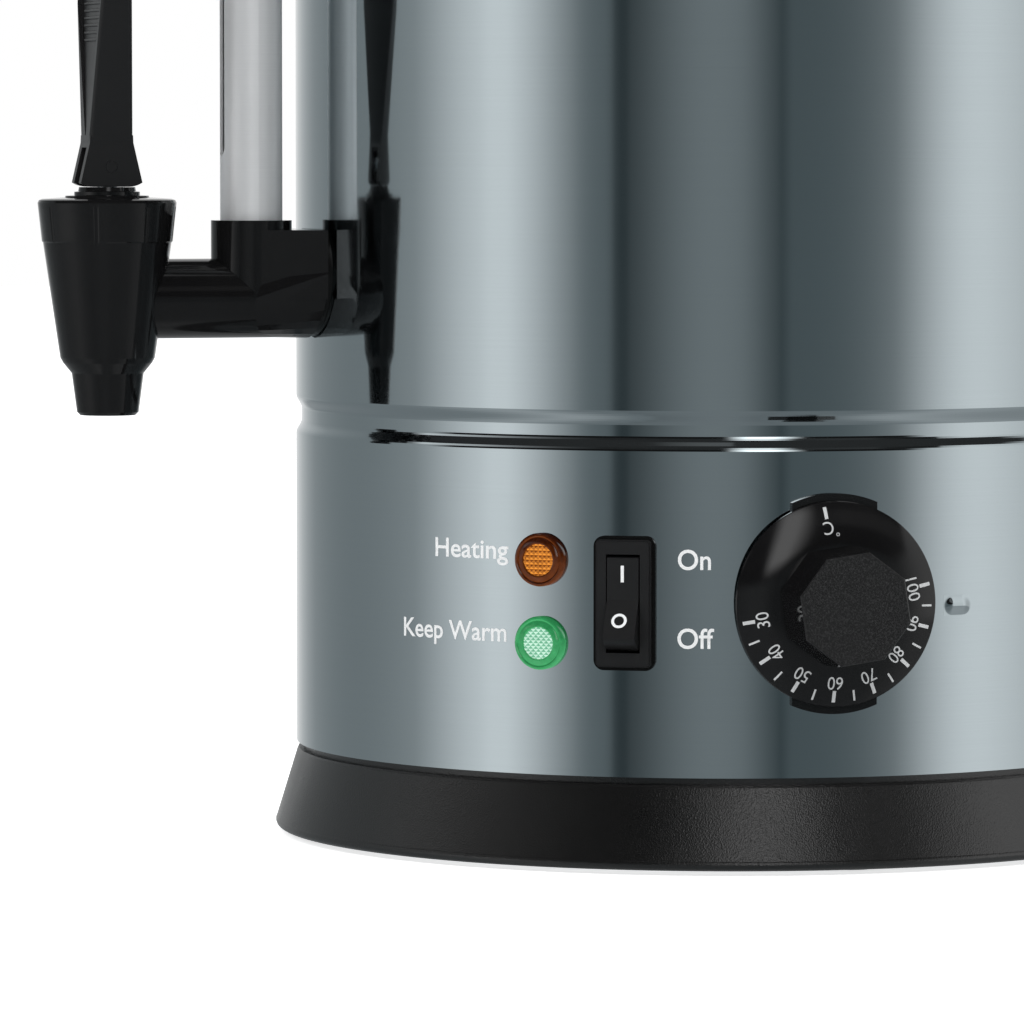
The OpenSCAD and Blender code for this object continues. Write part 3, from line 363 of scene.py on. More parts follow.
exact = vector(add, "NORMALIZE", exact)
picked = add("ShaderNodeMix", {0: radial, 4: normal, 5: exact}, data_type="VECTOR").outputs[1]
add("NodeGroupOutput", {"Normal": picked})


def moulded(name, tone, gloss, grain=2500.0, depth=0.00002, strength=0.5, **sockets):
    """Moulded plastic or rubber: gloss is its low and high roughness, depth is in metres."""
    look, add, shader = finish(name, tone, gloss[0], **sockets)
    given = place_effect(add, MOULDED, {
        "Grain per metre": grain, "Tone": (*tone, 1), "Gloss low": gloss[0], "Gloss high": gloss[1],
    })
    bump = add("ShaderNodeBump", {
        "Height": given["Height"], "Distance": depth, "Strength": strength,
    })
    feed(look, shader, Base_Color=given["Colour"], Roughness=given["Roughness"],
         Normal=bump.outputs["Normal"])
    return look


def rolled(name, tone, gloss, lines=9000.0, depth=0.00001, strength=0.2, metallic=1.0,
           about_axis=False):
    """Rolled, drawn or turned metal. About_axis keeps the reflections of a round piece whole."""
    look, add, shader = finish(name, tone, gloss[0], metallic)
    given = place_effect(add, ROLLED, {
        "Lines per metre": lines, "Tone": (*tone, 1), "Gloss low": gloss[0], "Gloss high": gloss[1],
    })
    bump = add("ShaderNodeBump", {
        "Height": given["Height"], "Distance": depth, "Strength": strength,
    })
    if about_axis:
        look.node_tree.links.new(place_effect(add, ROUND, {})["Normal"], bump.inputs["Normal"])
    feed(look, shader, Base_Color=given["Colour"], Roughness=given["Roughness"],
         Normal=bump.outputs["Normal"])
    return look


dress(
    moulded("grained base", (0.0022, 0.0022, 0.0023), (0.27, 0.32), grain=2600.0, depth=0.00008,
            strength=0.9, Specular_IOR_Level=0.9),
    "base_skirt")

# zinc plate: small crystals of slightly different tone
ZINC, add, given = effect(
    "zinc plate", {"Crystals per metre": 900.0}, {"Colour": tuple, "Roughness": float})
flakes = add("ShaderNodeTexVoronoi", {
    "Vector": given["Vector"], "Scale": given["Crystals per metre"],
}).outputs["Color"]
flake = add("ShaderNodeSeparateColor", {"Color": flakes}).outputs["Red"]
tones = mix(add, flake, (0.50, 0.51, 0.52, 1), (0.66, 0.67, 0.69, 1))
dull = add("ShaderNodeMapRange", {"Value": flake, "To Min": 0.30, "To Max": 0.44})
add("NodeGroupOutput", {"Colour": tones, "Roughness": dull.outputs["Result"]})
zinc, add, shader = finish("zinc plated steel", (0.6, 0.6, 0.62), 0.35, 1.0)
given = place_effect(add, ZINC, {})
feed(zinc, shader, Base_Color=given["Colour"], Roughness=given["Roughness"])
dress(zinc, "bottom_cover", "foot_screws", "base_screws")

dress(
    moulded("black rubber", (0.018, 0.018, 0.018), (0.62, 0.75), grain=1400.0, depth=0.00004,
            strength=0.7),
    "rubber_feet")

# ---- wall --------------------------------------------------------------------------------
# One sheet of stainless steel, rolled, seam welded and polished to a mirror, with a rolled
# bead that carries the tank's base. Legends are screen printed on it in white.

STEEL_TONE = (0.50, 0.565, 0.59)
mirror_steel = rolled("polished steel", STEEL_TONE, (0.045, 0.085), lines=7000.0, depth=0.000002,
                      strength=0.06, about_axis=True)
dress(mirror_steel, "outer_shell")
ink = moulded("screen print", (0.82, 0.83, 0.83), (0.42, 0.55), grain=6000.0, depth=0.000004,
              strength=0.3)
INK_PROUD = 0.00004
WALL_R = 0.112
CAPITAL_SHARE = 0.7                 # of a letter's height in the size of its type


def lettering(name, words, height, width, look, weight=0.018):
    """Flat text as a mesh of a given width, centred on the origin and facing +Z."""
    bpy.ops.object.select_all(action="DESELECT")
    bpy.ops.object.text_add()
    item = bpy.context.object
    item.name = name
    item.data.body = words
    item.data.align_x = "CENTER"
    item.data.align_y = "CENTER"
    item.data.size = height / CAPITAL_SHARE
    item.data.offset = height * weight
    item.data.materials.append(look)
    bpy.ops.object.convert(target="MESH")
    item.scale.x = width / item.dimensions.x
    bpy.ops.object.transform_apply(location=False, rotation=False, scale=True)
    return item


def put_on_wall(item, azimuth, height, out=0.0):
    """Turns a piece that faces +Z to face out of the wall, and applies its place."""
    a = math.radians(azimuth)
    item.rotation_euler = (math.pi / 2, 0, a)
    item.location = ((WALL_R + out) * math.sin(a), -(WALL_R + out) * math.cos(a), height)
    bpy.ops.object.select_all(action="DESELECT")
    item.select_set(True)
    bpy.context.view_layer.objects.active = item
    bpy.ops.object.transform_apply(location=True, rotation=True, scale=True)


def wrap(item, target, proud):
    """Lays a flat piece on the surface below it."""
    bpy.context.view_layer.objects.active = item
    press = item.modifiers.new("press", "SHRINKWRAP")
    press.target = target
    press.wrap_method = "NEAREST_SURFACEPOINT"
    press.wrap_mode = "ABOVE_SURFACE"
    press.offset = proud
    bpy.ops.object.modifier_apply(modifier="press")


for name, words, azimuth, height, capital, width in [
    ("legend_on", "On", 67.87, 0.0776, 0.0049, 0.0082),
    ("legend_off", "Off", 67.87, 0.0581, 0.0049, 0.0091),
    ("legend_heating", "Heating", 37.1, 0.0792, 0.0047, 0.0227),
    ("legend_ready", "Keep Warm", 34.2, 0.0586, 0.0047, 0.0336),
]:
    legend = lettering(name, words, capital, width, ink)
    put_on_wall(legend, azimuth, height, out=0.0002)
    wrap(legend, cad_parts["outer_shell"], INK_PROUD)
    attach(legend, "urn")

# an oblong pip pressed out of the sheet beside the dial marks the knob's position
PIP_AZIMUTH, PIP_Z, PIP_RISE = 102.9, 0.0657, 0.00055
PIP_HALF, PIP_FOOT = 0.0016, 0.0025         # half the ridge's length, and the radius of its foot
PATCH_W, PATCH_H = 0.0084, 0.0052
bpy.ops.object.select_all(action="DESELECT")
bpy.ops.mesh.primitive_grid_add(x_subdivisions=44, y_subdivisions=28, size=1)
pip = bpy.context.object
pip.name = "index_pip"
pip.scale = (PATCH_W, PATCH_H, 1)
bpy.ops.object.transform_apply(location=False, rotation=False, scale=True)
raised = pip.vertex_groups.new(name="raised")
for point in pip.data.vertices:
    away = math.hypot(max(abs(point.co.x) - PIP_HALF, 0), point.co.y)
    t = max(1 - away / PIP_FOOT, 0)
    raised.add([point.index], t * t * (3 - 2 * t), "REPLACE")
pip.data.materials.append(
    rolled("pressed steel", STEEL_TONE, (0.06, 0.10), lines=7000.0, depth=0.000002, strength=0.06))
put_on_wall(pip, PIP_AZIMUTH, PIP_Z, out=0.0001)
wrap(pip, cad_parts["outer_shell"], INK_PROUD / 2)
swell = pip.modifiers.new("swell", "DISPLACE")
swell.vertex_group = "raised"
swell.mid_level = 0
swell.strength = PIP_RISE
bpy.ops.object.modifier_apply(modifier="swell")
bpy.ops.object.shade_smooth()
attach(pip, "urn")

# the lengthwise weld is ground flush, in one run below the bead and one above it
weld = rolled("ground weld", (0.42, 0.47, 0.49), (0.20, 0.34), lines=3500.0, depth=0.00002,
              strength=0.4)
WELD_AZIMUTH, WELD_W = 205, 0.0016
for name, low, high in [("weld_low", 0.0250, 0.1035), ("weld_high", 0.1155, 0.3885)]:
    bpy.ops.object.select_all(action="DESELECT")
    bpy.ops.mesh.primitive_grid_add(x_subdivisions=4, y_subdivisions=120, size=1)
    seam = bpy.context.object
    seam.name = name
    seam.scale = (WELD_W, high - low, 1)
    bpy.ops.object.transform_apply(location=False, rotation=False, scale=True)
    seam.data.materials.append(weld)
    put_on_wall(seam, WELD_AZIMUTH, (low + high) / 2, out=0.0001)
    wrap(seam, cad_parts["outer_shell"], INK_PROUD)
    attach(seam, "urn")

# ---- tank and heater ---------------------------------------------------------------------
# A pressed steel pan rests on the bead and is the tank's base. Below it a cast aluminium
# plate carries the sheathed element, with ceramic ends, and the thermal cut-out.

plain_steel = rolled("plain stainless steel", (0.55, 0.56, 0.57), (0.22, 0.34), lines=5000.0,
                     depth=0.00001, strength=0.3)
dress(plain_steel, "tank_base", "heating_element")
cast, add, shader = finish("cast aluminium", (0.66, 0.66, 0.67), 0.5, 1.0)
given = place_effect(add, MOULDED, {
    "Grain per metre": 900.0, "Tone": (0.66, 0.66, 0.67, 1), "Gloss low": 0.45, "Gloss high": 0.62,
})
bump = add("ShaderNodeBump", {"Height": given["Height"], "Distance": 0.0001, "Strength": 0.6})
feed(cast, shader, Base_Color=given["Colour"], Roughness=given["Roughness"],
     Normal=bump.outputs["Normal"])
dress(cast, "heating_plate")
dress(
    moulded("white ceramic", (0.80, 0.77, 0.68), (0.22, 0.34), grain=1200.0, depth=0.00001,
            strength=0.3),
    "element_insulators")
dress(moulded("matt black plastic", (0.022, 0.022, 0.023), (0.46, 0.56)), "thermal_cutout")
dress(zinc, "cutout_screws")

# ---- thermostat --------------------------------------------------------------------------
# A plated steel case with its copper capillary and bulb behind the wall, on two screws
# through the back plate. The shaft carries the knob.

dress(zinc, "thermostat_body", "bulb_clip", "thermostat_screws", "dial_shaft")


def clouded(name, tone, gloss, scale, detail, tones, glosses, metallic=1.0, **sockets):
    """A material whose tone and gloss follow the stops of one noise."""
    look, add, shader = finish(name, tone, gloss, metallic, **sockets)
    cloud = noise(add, own_place(add), scale, detail)
    feed(look, shader, Base_Color=ramp(add, cloud, tones), Roughness=ramp(add, cloud, glosses))
    return look


dress(
    clouded("copper tube", (0.72, 0.40, 0.26), 0.3, 160.0, 5.0,
            [(0.3, (0.42, 0.20, 0.12)), (0.65, (0.80, 0.46, 0.30))], [(0.3, 0.45), (0.7, 0.22)]),
    "thermostat_bulb")

# ---- dial --------------------------------------------------------------------------------
# The back plate and the knob are gloss black mouldings. The knob's skirt is printed with a
# white scale in degrees, and the top of its grip is spark eroded.

BLACK_TONE = (0.0045, 0.0045, 0.0048)
gloss_black = moulded("gloss black plastic", BLACK_TONE, (0.05, 0.09), grain=700.0,
                      depth=0.000003, strength=0.08, Specular_IOR_Level=0.36)
dress(gloss_black, "dial_backplate")

print_grey = moulded("dial print", (0.55, 0.56, 0.56), (0.42, 0.55), grain=6000.0,
                     depth=0.000004, strength=0.3)
DIAL_AZIMUTH, DIAL_Z = 85.5, 0.067
GRIP_TOP = WALL_R + 0.0214          # from the urn's axis
knob_black, add, shader = finish("dial knob plastic", BLACK_TONE, 0.07, Specular_IOR_Level=0.42)
side = math.radians(DIAL_AZIMUTH)
axis = (math.sin(side), -math.cos(side), 0)
spot = own_place(add)
height = vector(add, "DOT_PRODUCT", spot, axis, result="Value")
on_top = add("ShaderNodeMapRange", {
    "Value": height, "From Min": GRIP_TOP - 0.0003, "From Max": GRIP_TOP - 0.0001,
}).outputs["Result"]
glossy = place_effect(add, MOULDED, {
    "Grain per metre": 700.0, "Tone": (*BLACK_TONE, 1), "Gloss low": 0.07, "Gloss high": 0.12,
})
eroded = place_effect(add, MOULDED, {
    "Grain per metre": 3000.0, "Tone": (0.0055, 0.0055, 0.0058, 1),
    "Gloss low": 0.50, "Gloss high": 0.62,
})
specks = ramp(add, noise(add, spot, 2300.0, 2.0), [(0.45, 0.0), (0.70, 1.0)])
speckled = mix(add, specks, eroded["Colour"], (0.024, 0.024, 0.0245, 1))
# the skirt is one smooth dome: its normal leans out with the distance from the axis
DOME_RISE, DOME_R, DOME_FLAT_R = 0.0027, 0.0255, 0.0125
lean = 2 * DOME_RISE / (DOME_R - DOME_FLAT_R)
outward = vector(add, "SUBTRACT", spot, (0, 0, DIAL_Z))
outward = vector(add, "SUBTRACT", outward, vector(add, "SCALE", axis, Scale=height))
away = vector(add, "LENGTH", outward, result="Value")
slope = add("ShaderNodeMapRange", {
    "Value": away, "From Min": DOME_FLAT_R, "From Max": DOME_R, "To Max": lean,
}).outputs["Result"]
leaning = vector(add, "SCALE", vector(add, "NORMALIZE", outward), Scale=slope)
domed = vector(add, "ADD", axis, leaning)
domed = add("ShaderNodeVectorTransform", {
    "Vector": domed,
}, vector_type="NORMAL", convert_from="OBJECT", convert_to="WORLD").outputs[0]
normal = add("ShaderNodeNewGeometry").outputs["Normal"]
NEARLY_DOMED = 0.992                # cosine between the face's own normal and the dome's
same = vector(add, "DOT_PRODUCT", normal, domed, result="Value")
near = by(add, same, NEARLY_DOMED, "GREATER_THAN")
smoothed = add("ShaderNodeMix", {0: near, 4: normal, 5: domed}, data_type="VECTOR").outputs[1]
bump = add("ShaderNodeBump", {
    "Height": eroded["Height"], "Distance": 0.00007, "Strength": by(add, on_top, 0.9),
    "Normal": smoothed,
})
dulled = add("ShaderNodeMix", {0: on_top, 2: glossy["Roughness"], 3: eroded["Roughness"]})
feed(knob_black, shader, Base_Color=mix(add, on_top, glossy["Colour"], speckled),
     Roughness=dulled.outputs[0], Normal=bump.outputs["Normal"])
dress(knob_black, "dial_knob")
# places on the scale, as turns in degrees and as distances from the dial's axis
NUMBERS = range(30, 101, 10)
UNIT_TURN, FIRST_TURN, LAST_TURN = 97.6, 190.5, 371.5
TURN_STEP = (LAST_TURN - FIRST_TURN) / (len(NUMBERS) - 1)
SCALE_R = 0.0248                    # outer end of the marks
MARK_R, TICK_R, NUMBER_R = SCALE_R - 0.00175, SCALE_R - 0.0016, SCALE_R - 0.0056
MARK_W, MARK_L, TICK_W, TICK_L = 0.0009, 0.0033, 0.0005, 0.0031
NUMBER_H, NUMBER_W, HUNDRED_W, UNIT_W = 0.0033, 0.0038, 0.0056, 0.0025
DEGREE_H, DEGREE_W, DEGREE_TURN, DEGREE_R = 0.0022, 0.0009, UNIT_TURN - 7, NUMBER_R - 0.001
FLAT_Z = 0.0045                     # clear above the skirt, before the scale is laid on it


def flat_mark(width, height, look):
    """One printed mark, with enough faces to follow a curved surface."""
    bpy.ops.object.select_all(action="DESELECT")
    bpy.ops.mesh.primitive_plane_add(size=1)
    mark = bpy.context.object
    mark.scale = (width, height, 1)
    bpy.ops.object.transform_apply(location=False, rotation=False, scale=True)
    bpy.ops.object.mode_set(mode="EDIT")
    bpy.ops.mesh.select_all(action="SELECT")
    bpy.ops.mesh.subdivide(number_cuts=2)
    bpy.ops.object.mode_set(mode="OBJECT")
    mark.data.materials.append(look)
    return mark


def copies(piece, count):
    """The piece and its copies, each with its own mesh."""
    made = [piece]
    while len(made) < count:
        bpy.ops.object.select_all(action="DESELECT")
        piece.select_set(True)
        bpy.context.view_layer.objects.active = piece
        bpy.ops.object.duplicate()
        made.append(bpy.context.object)
    return made


def joined(name, pieces):
    """Joins pieces into the first one, with its place applied."""
    bpy.ops.object.select_all(action="DESELECT")
    for piece in pieces:
        piece.select_set(True)
    bpy.context.view_layer.objects.active = pieces[0]
    bpy.ops.object.join()
    bpy.ops.object.transform_apply(location=True, rotation=True, scale=True)
    pieces[0].name = name
    return pieces[0]


def on_dial(piece, turn, radius, facing=0.0):
    """Sets a flat piece on the dial's face, its top outward."""
    a = math.radians(turn)
    piece.location = (radius * math.cos(a), radius * math.sin(a), FLAT_Z)
    piece.rotation_euler = (0, 0, a - math.pi / 2 + facing)
    return piece


# a mark at each number and a tick between each two
marks = copies(flat_mark(MARK_W, MARK_L, print_grey), len(NUMBERS) + 1)
ticks = copies(flat_mark(TICK_W, TICK_L, print_grey), len(NUMBERS) - 1)
scale = []
for i, number in enumerate(NUMBERS):
    turn = FIRST_TURN + i * TURN_STEP
    scale.append(on_dial(marks[i], turn, MARK_R))
    width = NUMBER_W if number < 100 else HUNDRED_W
    figures = lettering("number", str(number), NUMBER_H, width, print_grey, weight=0.0)
    scale.append(on_dial(figures, turn, NUMBER_R))
for i, tick in enumerate(ticks):
    scale.append(on_dial(tick, FIRST_TURN + (i + 0.5) * TURN_STEP, TICK_R))
# the unit has the last mark, and its top faces the dial's middle
scale.append(on_dial(marks[-1], UNIT_TURN, MARK_R))
unit = lettering("unit", "C", NUMBER_H, UNIT_W, print_grey, weight=0.0)
scale.append(on_dial(unit, UNIT_TURN, NUMBER_R, facing=math.pi))
degree = lettering("degree", "\u00b0", DEGREE_H, DEGREE_W, print_grey, weight=0.0)
scale.append(on_dial(degree, DEGREE_TURN, DEGREE_R, facing=math.pi))
dial_scale = joined("dial_scale", scale)
put_on_wall(dial_scale, DIAL_AZIMUTH, DIAL_Z)
wrap(dial_scale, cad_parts["dial_knob"], INK_PROUD)
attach(dial_scale, "dial")

# ---- switch ------------------------------------------------------------------------------
# A rubber gasket, a moulded housing with its bezel, and a rocker marked with a line at the
# pressed end and a ring at the other.

gasket_rubber = moulded("gasket rubber", (0.002, 0.002, 0.002), (0.16, 0.24), grain=1800.0,
                        depth=0.000006, strength=0.3, Specular_IOR_Level=0.25)
dress(gasket_rubber, "switch_gasket")
switch_black = moulded("switch plastic", (0.0105, 0.0105, 0.011), (0.26, 0.34), grain=2200.0,
                       depth=0.000008, strength=0.3, Specular_IOR_Level=0.4)
dress(switch_black, "switch_housing", "switch_rocker")

SWITCH_AZIMUTH, SWITCH_Z = 59, 0.067
ROCKER_SLOPE = 28                   # of the raised half, in degrees
LINE_W, LINE_L, LINE_AT = 0.0008, 0.0041, (-0.0001, 0.0074, 0.0034)
RING_R, RING_T, RING_AT = 0.00195, 0.0007, (-0.0003, -0.0041, 0.0052)
line = flat_mark(LINE_W, LINE_L, ink)
line.location = LINE_AT
bpy.ops.object.select_all(action="DESELECT")
bpy.ops.mesh.primitive_circle_add(
    vertices=48, radius=RING_R, fill_type="NGON", location=RING_AT,
    rotation=(-math.radians(ROCKER_SLOPE), 0, 0))
ring = bpy.context.object
bpy.ops.object.mode_set(mode="EDIT")
bpy.ops.mesh.select_all(action="SELECT")
bpy.ops.mesh.inset(thickness=RING_T)
bpy.ops.mesh.delete(type="FACE")
bpy.ops.object.mode_set(mode="OBJECT")
ring.data.materials.append(ink)
rocker_marks = joined("rocker_marks", [line, ring])
put_on_wall(rocker_marks, SWITCH_AZIMUTH, SWITCH_Z)
wrap(rocker_marks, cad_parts["switch_rocker"], INK_PROUD)
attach(rocker_marks, "rocker")

# ---- signal lamps ------------------------------------------------------------------------
# Clear coloured lenses with a grid of small pyramids inside a bright rim, whose glow carries
# painted light and painted shade by the way each face looks. White nylon bodies with spring clips
# hold them behind the wall.

LAMP_AZIMUTH, LAMP_Z, LAMP_PITCH = 47.8, 0.067, 0.0207
GRID_R, GRID_Z, GRID_RISE, GRID_T = 0.00395, 0.00195, 0.0005, 0.0006
LENS_RINGS = [                      # radius and height in mm
    (4.8, -6.0), (4.8, 0.0), (6.65, 0.0), (6.65, 1.45), (6.55, 1.8), (6.3, 2.05), (6.0, 2.1),
    (5.8, 2.0), (5.6, 1.8), (5.4, 2.0), (4.3, 2.35), (4.05, 2.3), (3.98, 1.9), (3.0, 1.9),
]


def stacked(name, rings, sides=72):
    """A turned shape: a disc, extruded and resized through rings of radius and height."""
    rings = [(r / 1000, z / 1000) for r, z in rings]
    bpy.ops.object.select_all(action="DESELECT")
    bpy.ops.mesh.primitive_circle_add(
        vertices=sides, radius=rings[0][0], fill_type="NGON", location=(0, 0, rings[0][1]))
    item = bpy.context.object
    item.name = name
    bpy.ops.object.transform_apply(location=True, rotation=False, scale=False)
    bpy.ops.object.mode_set(mode="EDIT")
    bpy.ops.mesh.select_all(action="SELECT")
    for (r0, z0), (r1, z1) in zip(rings, rings[1:]):
        bpy.ops.mesh.extrude_region_move(TRANSFORM_OT_translate={"value": (0, 0, z1 - z0)})
        bpy.ops.transform.resize(value=(r1 / r0, r1 / r0, 1), center_override=(0, 0, z1))
    bpy.ops.mesh.select_all(action="SELECT")
    bpy.ops.mesh.normals_make_consistent(inside=False)
    bpy.ops.object.mode_set(mode="OBJECT")
    bpy.ops.object.shade_smooth_by_angle(angle=math.radians(28))
    return item


def pyramids(pitch, turn):
    """A round plate whose face is a grid of small pyramids."""
    count = 2 * math.ceil(GRID_R / pitch) + 2
    bpy.ops.object.select_all(action="DESELECT")
    bpy.ops.mesh.primitive_grid_add(
        x_subdivisions=count, y_subdivisions=count, size=count * pitch,
        location=(0, 0, GRID_Z), rotation=(0, 0, math.radians(turn)))
    plate = bpy.context.object
    bpy.ops.object.transform_apply(location=True, rotation=True, scale=True)
    bpy.ops.object.mode_set(mode="EDIT")
    bpy.ops.mesh.select_all(action="SELECT")
    bpy.ops.mesh.extrude_region_move(TRANSFORM_OT_translate={"value": (0, 0, -GRID_T)})
    bpy.ops.mesh.select_all(action="SELECT")
    bpy.ops.mesh.normals_make_consistent(inside=False)
    bpy.ops.mesh.select_all(action="DESELECT")
    bpy.ops.object.mode_set(mode="OBJECT")
    for face in plate.data.polygons:
        face.select = face.normal.z > 0.9
    bpy.ops.object.mode_set(mode="EDIT")
    bpy.ops.mesh.select_mode(type="FACE")
    bpy.ops.mesh.poke(offset=GRID_RISE)
    bpy.ops.object.mode_set(mode="OBJECT")
    bpy.ops.mesh.primitive_cylinder_add(
        vertices=48, radius=GRID_R, depth=0.004, location=(0, 0, GRID_Z))
    cutter = bpy.context.object
    trim = plate.modifiers.new("trim", "BOOLEAN")
    trim.operation = "INTERSECT"
    trim.object = cutter
    bpy.context.view_layer.objects.active = plate
    bpy.ops.object.modifier_apply(modifier="trim")
    bpy.data.objects.remove(cutter)
    return plate


def tinted(name, tone, shade, lit, glow):
    """Clear coloured plastic with a little glow in it, and painted light: faces that look down glow
    in the lit colour, faces that look up in the painted shade.
    """
    look, add, shader = finish(
        name, tone, 0.07, IOR=1.49, Transmission_Weight=0.3, Emission_Strength=glow)
    flow = noise(add, own_place(add), 700.0, 3.0)
    normal = add("ShaderNodeNewGeometry").outputs["Normal"]
    facing = add("ShaderNodeSeparateXYZ", {"Vector": normal}).outputs["Z"]
    # painted light and shade: the glow's colour runs from the painted shade on faces that look up
    # to the lit colour on faces that look down, stirred by the noise
    light = by(add, by(add, facing, -0.7), by(add, flow, 0.6), "ADD")
    feed(look, shader,
         Base_Color=ramp(add, flow, [(0.3, tuple(0.7 * v for v in tone)), (0.7, tone)]),
         Roughness=ramp(add, flow, [(0.3, 0.05), (0.7, 0.11)]),
         Emission_Color=ramp(add, light, [(0.0, shade), (0.75, lit)]))
    return look


# the rim's tone, the painted shade and painted lit colours of its glow and their strength, then the
# grid's
CORE_GLOW = 0.85
rims = copies(stacked("lamp_rim", LENS_RINGS), 2)
for name, side, tone, shade, lit, glow, core_painted_shade, core, pitch, turn in [
    ("amber", 1, (0.030, 0.006, 0.001), (0.030, 0.004, 0.001), (0.60, 0.14, 0.015), 0.20,
     (0.10, 0.018, 0.001), (1.0, 0.36, 0.05), 0.00117, 0),
    ("green", -1, (0.006, 0.11, 0.035), (0.04, 0.30, 0.10), (0.14, 0.80, 0.30), 0.42,
     (0.12, 0.40, 0.24), (0.72, 1.0, 0.84), 0.00100, 45),
]:
    rim = rims.pop(0)
    rim.data.materials.append(tinted(name + " lens", tone, shade, lit, glow))
    grid = pyramids(pitch, turn)
    grid.data.materials.clear()
    grid.data.materials.append(
        tinted(name + " lens grid", tuple(0.15 * v for v in core), core_painted_shade, core, CORE_GLOW))
    lens = joined(name + "_lamp", [rim, grid])
    put_on_wall(lens, LAMP_AZIMUTH, LAMP_Z + side * LAMP_PITCH / 2)
    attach(lens, "urn")
    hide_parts("lamp_lens_" + name)

dress(moulded("white nylon", (0.80, 0.80, 0.77), (0.36, 0.46)), "lamp_bodies")
dress(zinc, "lamp_clips")

# ---- cord inlet and wiring ---------------------------------------------------------------
# A moulded inlet with three plated pins is screwed to the back of the wall. Sleeved wires
# run from it to the switch, the thermostat and the element.

dress(gloss_black, "power_inlet")
dress(
    clouded("plated brass", (0.72, 0.66, 0.46), 0.2, 420.0, 4.0,
            [(0.35, (0.62, 0.50, 0.28)), (0.6, (0.76, 0.72, 0.58))], [(0.3, 0.34), (0.7, 0.16)]),
    "inlet_pins")

INLET_Z, INLET_SCREW_Y = 0.065, 0.020
SCREW_RINGS = [                     # radius and height in mm, from the tip to the head's crown
    (1.5, -3.4), (1.8, -3.1), (1.8, 3.0), (3.4, 3.0), (3.4, 3.5), (3.2, 4.05), (2.6, 4.4),
    (1.4, 4.6),
]
RECESS_L, RECESS_W, RECESS_D = 0.0036, 0.0009, 0.0012
inlet_screw = stacked("inlet_screw", SCREW_RINGS, 40)
inlet_screw.data.materials.append(zinc)
for turn in (20, 110):
    bpy.ops.mesh.primitive_cube_add(
        size=1, location=(0, 0, SCREW_RINGS[-1][1] / 1000), rotation=(0, 0, math.radians(turn)))
    blade = bpy.context.object
    blade.scale = (RECESS_L, RECESS_W, 2 * RECESS_D)
    recess = inlet_screw.modifiers.new("recess", "BOOLEAN")
    recess.operation = "DIFFERENCE"
    recess.object = blade
    bpy.context.view_layer.objects.active = inlet_screw
    bpy.ops.object.modifier_apply(modifier="recess")
    bpy.data.objects.remove(blade)
inlet_screws = copies(inlet_screw, 2)
for screw, y in zip(inlet_screws, (-INLET_SCREW_Y, INLET_SCREW_Y)):
    screw.location.y = y
inlet_screws = joined("inlet_screw_pair", inlet_screws)
put_on_wall(inlet_screws, 180, INLET_Z)
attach(inlet_screws, "urn")
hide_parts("inlet_screws")
dress(
    moulded("wire sleeving", (0.03, 0.03, 0.032), (0.5, 0.62), grain=1600.0, depth=0.00005,
            strength=0.8),
    "wiring_loom")

# ---- handles -----------------------------------------------------------------------------
# Two moulded bows stand off the wall near the rim, each on two screws from inside with
# silicone sealing washers.

tap_black = moulded("black tap plastic", (0.0040, 0.0040, 0.0043), (0.06, 0.11), grain=1100.0,
                    depth=0.000004, strength=0.12, Specular_IOR_Level=0.32)
dress(tap_black, "handle_left", "handle_right")
dress(zinc, "handle_screws")
silicone = moulded("silicone rubber", (0.66, 0.62, 0.56), (0.40, 0.52), grain=1000.0,
                   depth=0.00001, strength=0.3, Subsurface_Weight=0.1)
dress(silicone, "handle_washers")

# ---- tee ---------------------------------------------------------------------------------
# The moulded tee joins the tap to the wall and holds the foot of the sight gauge. A saddle
# seal lies under its foot, and a washer and nut pull it up from inside.

dress(tap_black, "gauge_tee")
dress(gasket_rubber, "tee_seal")
dress(silicone, "shank_washer")
dress(plain_steel, "shank_nut")

# ---- sight gauge -------------------------------------------------------------------------
# A slotted sleeve of satin anodised aluminium guards a clear tube, on a soft seal, and a
# moulded cap closes its top.

dress(
    rolled("satin anodised aluminium", (0.90, 0.905, 0.91), (0.42, 0.50), lines=5200.0,
           depth=0.00001, strength=0.35, metallic=0.55),
    "gauge_sleeve")
dress(silicone, "tube_seal")
dress(tap_black, "gauge_cap")
dress(
    clouded("clear tube", (0.93, 0.96, 0.96), 0.04, 180.0, 4.0,
            [(0.3, (0.90, 0.95, 0.95)), (0.7, (0.96, 0.98, 0.98))], [(0.3, 0.03), (0.7, 0.06)],
            metallic=0.0, IOR=1.47, Transmission_Weight=1.0),
    "sight_tube")

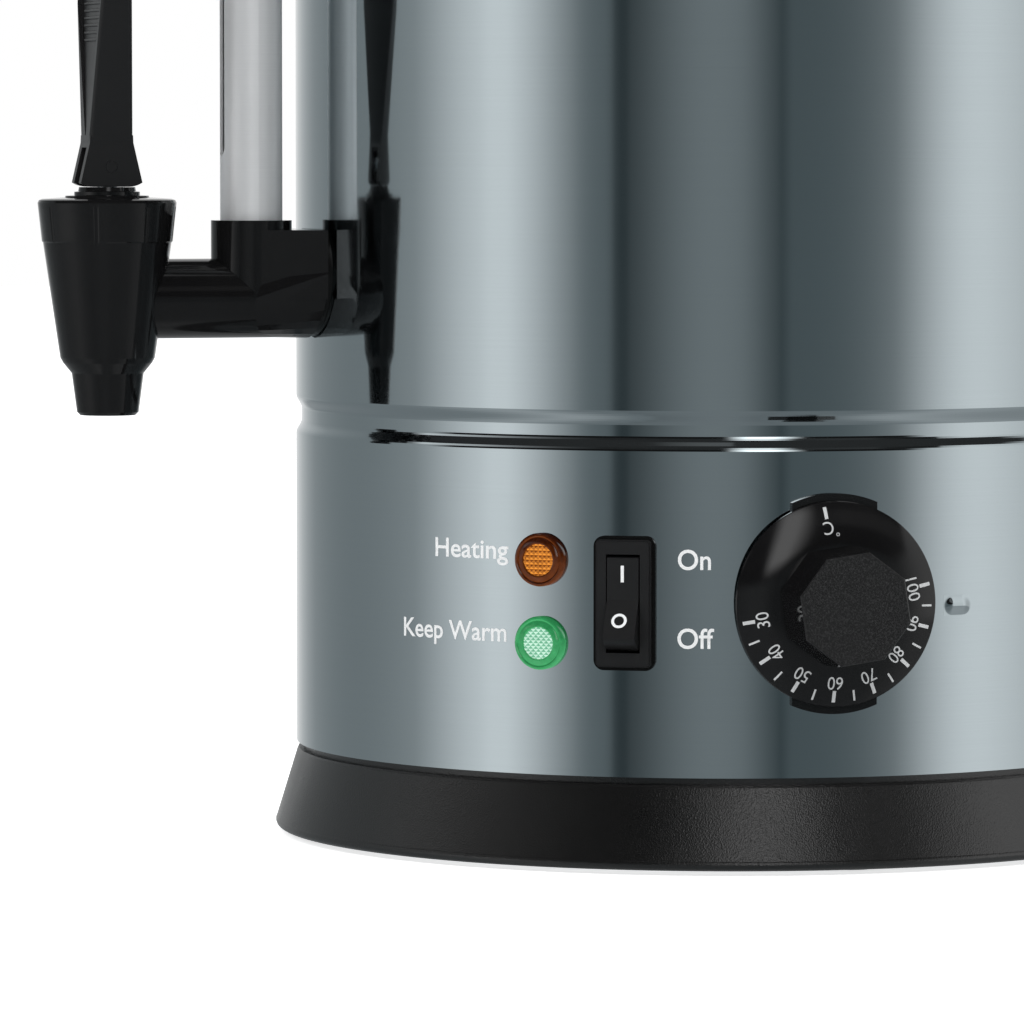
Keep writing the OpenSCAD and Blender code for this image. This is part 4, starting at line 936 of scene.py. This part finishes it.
# ---- tap ---------------------------------------------------------------------------------
# A moulded body and a fluted bonnet hold the steel stem, its silicone seat cup and spring.
# The forked lever turns on a pin through the stem and lifts it by the cam on its heel.

dress(tap_black, "tap_body", "tap_bonnet")
dress(plain_steel, "tap_stem")
dress(silicone, "seat_cup")
dress(
    moulded("satin black plastic", (0.008, 0.008, 0.0085), (0.28, 0.36), grain=1900.0,
            depth=0.00001, strength=0.3, Specular_IOR_Level=0.4),
    "tap_lever", "lever_pin")

# the valve spring is a coil of round wire between the stem's flange and the bonnet's roof, which in
# the tap rises at its foot with the stem while its top stays; here it is one fixed mesh
WIRE_R, SPRING_TURNS = 0.00055, 6
least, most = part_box("tap_spring")
coil_r = (most[0] - least[0]) / 2 - WIRE_R
middle = ((least[0] + most[0]) / 2, (least[1] + most[1]) / 2)
foot, top = least[2] + WIRE_R, most[2] - WIRE_R
bpy.ops.object.select_all(action="DESELECT")
bpy.ops.mesh.primitive_circle_add(
    vertices=12, radius=WIRE_R, location=(coil_r, 0, 0), rotation=(math.pi / 2, 0, 0))
spring = bpy.context.object
spring.name = "valve_spring"
bpy.ops.object.transform_apply(location=True, rotation=True, scale=True)
coil = spring.modifiers.new("coil", "SCREW")
coil.screw_offset = (top - foot) / SPRING_TURNS
coil.iterations = SPRING_TURNS
coil.steps = coil.render_steps = 36
bpy.ops.object.modifier_apply(modifier="coil")
bpy.ops.object.mode_set(mode="EDIT")
bpy.ops.mesh.select_all(action="SELECT")
bpy.ops.mesh.fill_holes(sides=0)
bpy.ops.mesh.select_all(action="SELECT")
bpy.ops.mesh.normals_make_consistent(inside=False)
bpy.ops.object.mode_set(mode="OBJECT")
spring.location = (*middle, foot)
bpy.ops.object.transform_apply(location=True, rotation=False, scale=False)
bpy.ops.object.shade_smooth()
spring.data.materials.append(plain_steel)
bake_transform(spring)
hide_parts("tap_spring")

# ---- lid ---------------------------------------------------------------------------------
# The lid is spun from the same polished steel. A turned plastic knob is screwed on from
# below through a silicone washer.

dress(mirror_steel, "lid")
dress(tap_black, "lid_knob")
dress(zinc, "knob_screw")
dress(silicone, "knob_washer")
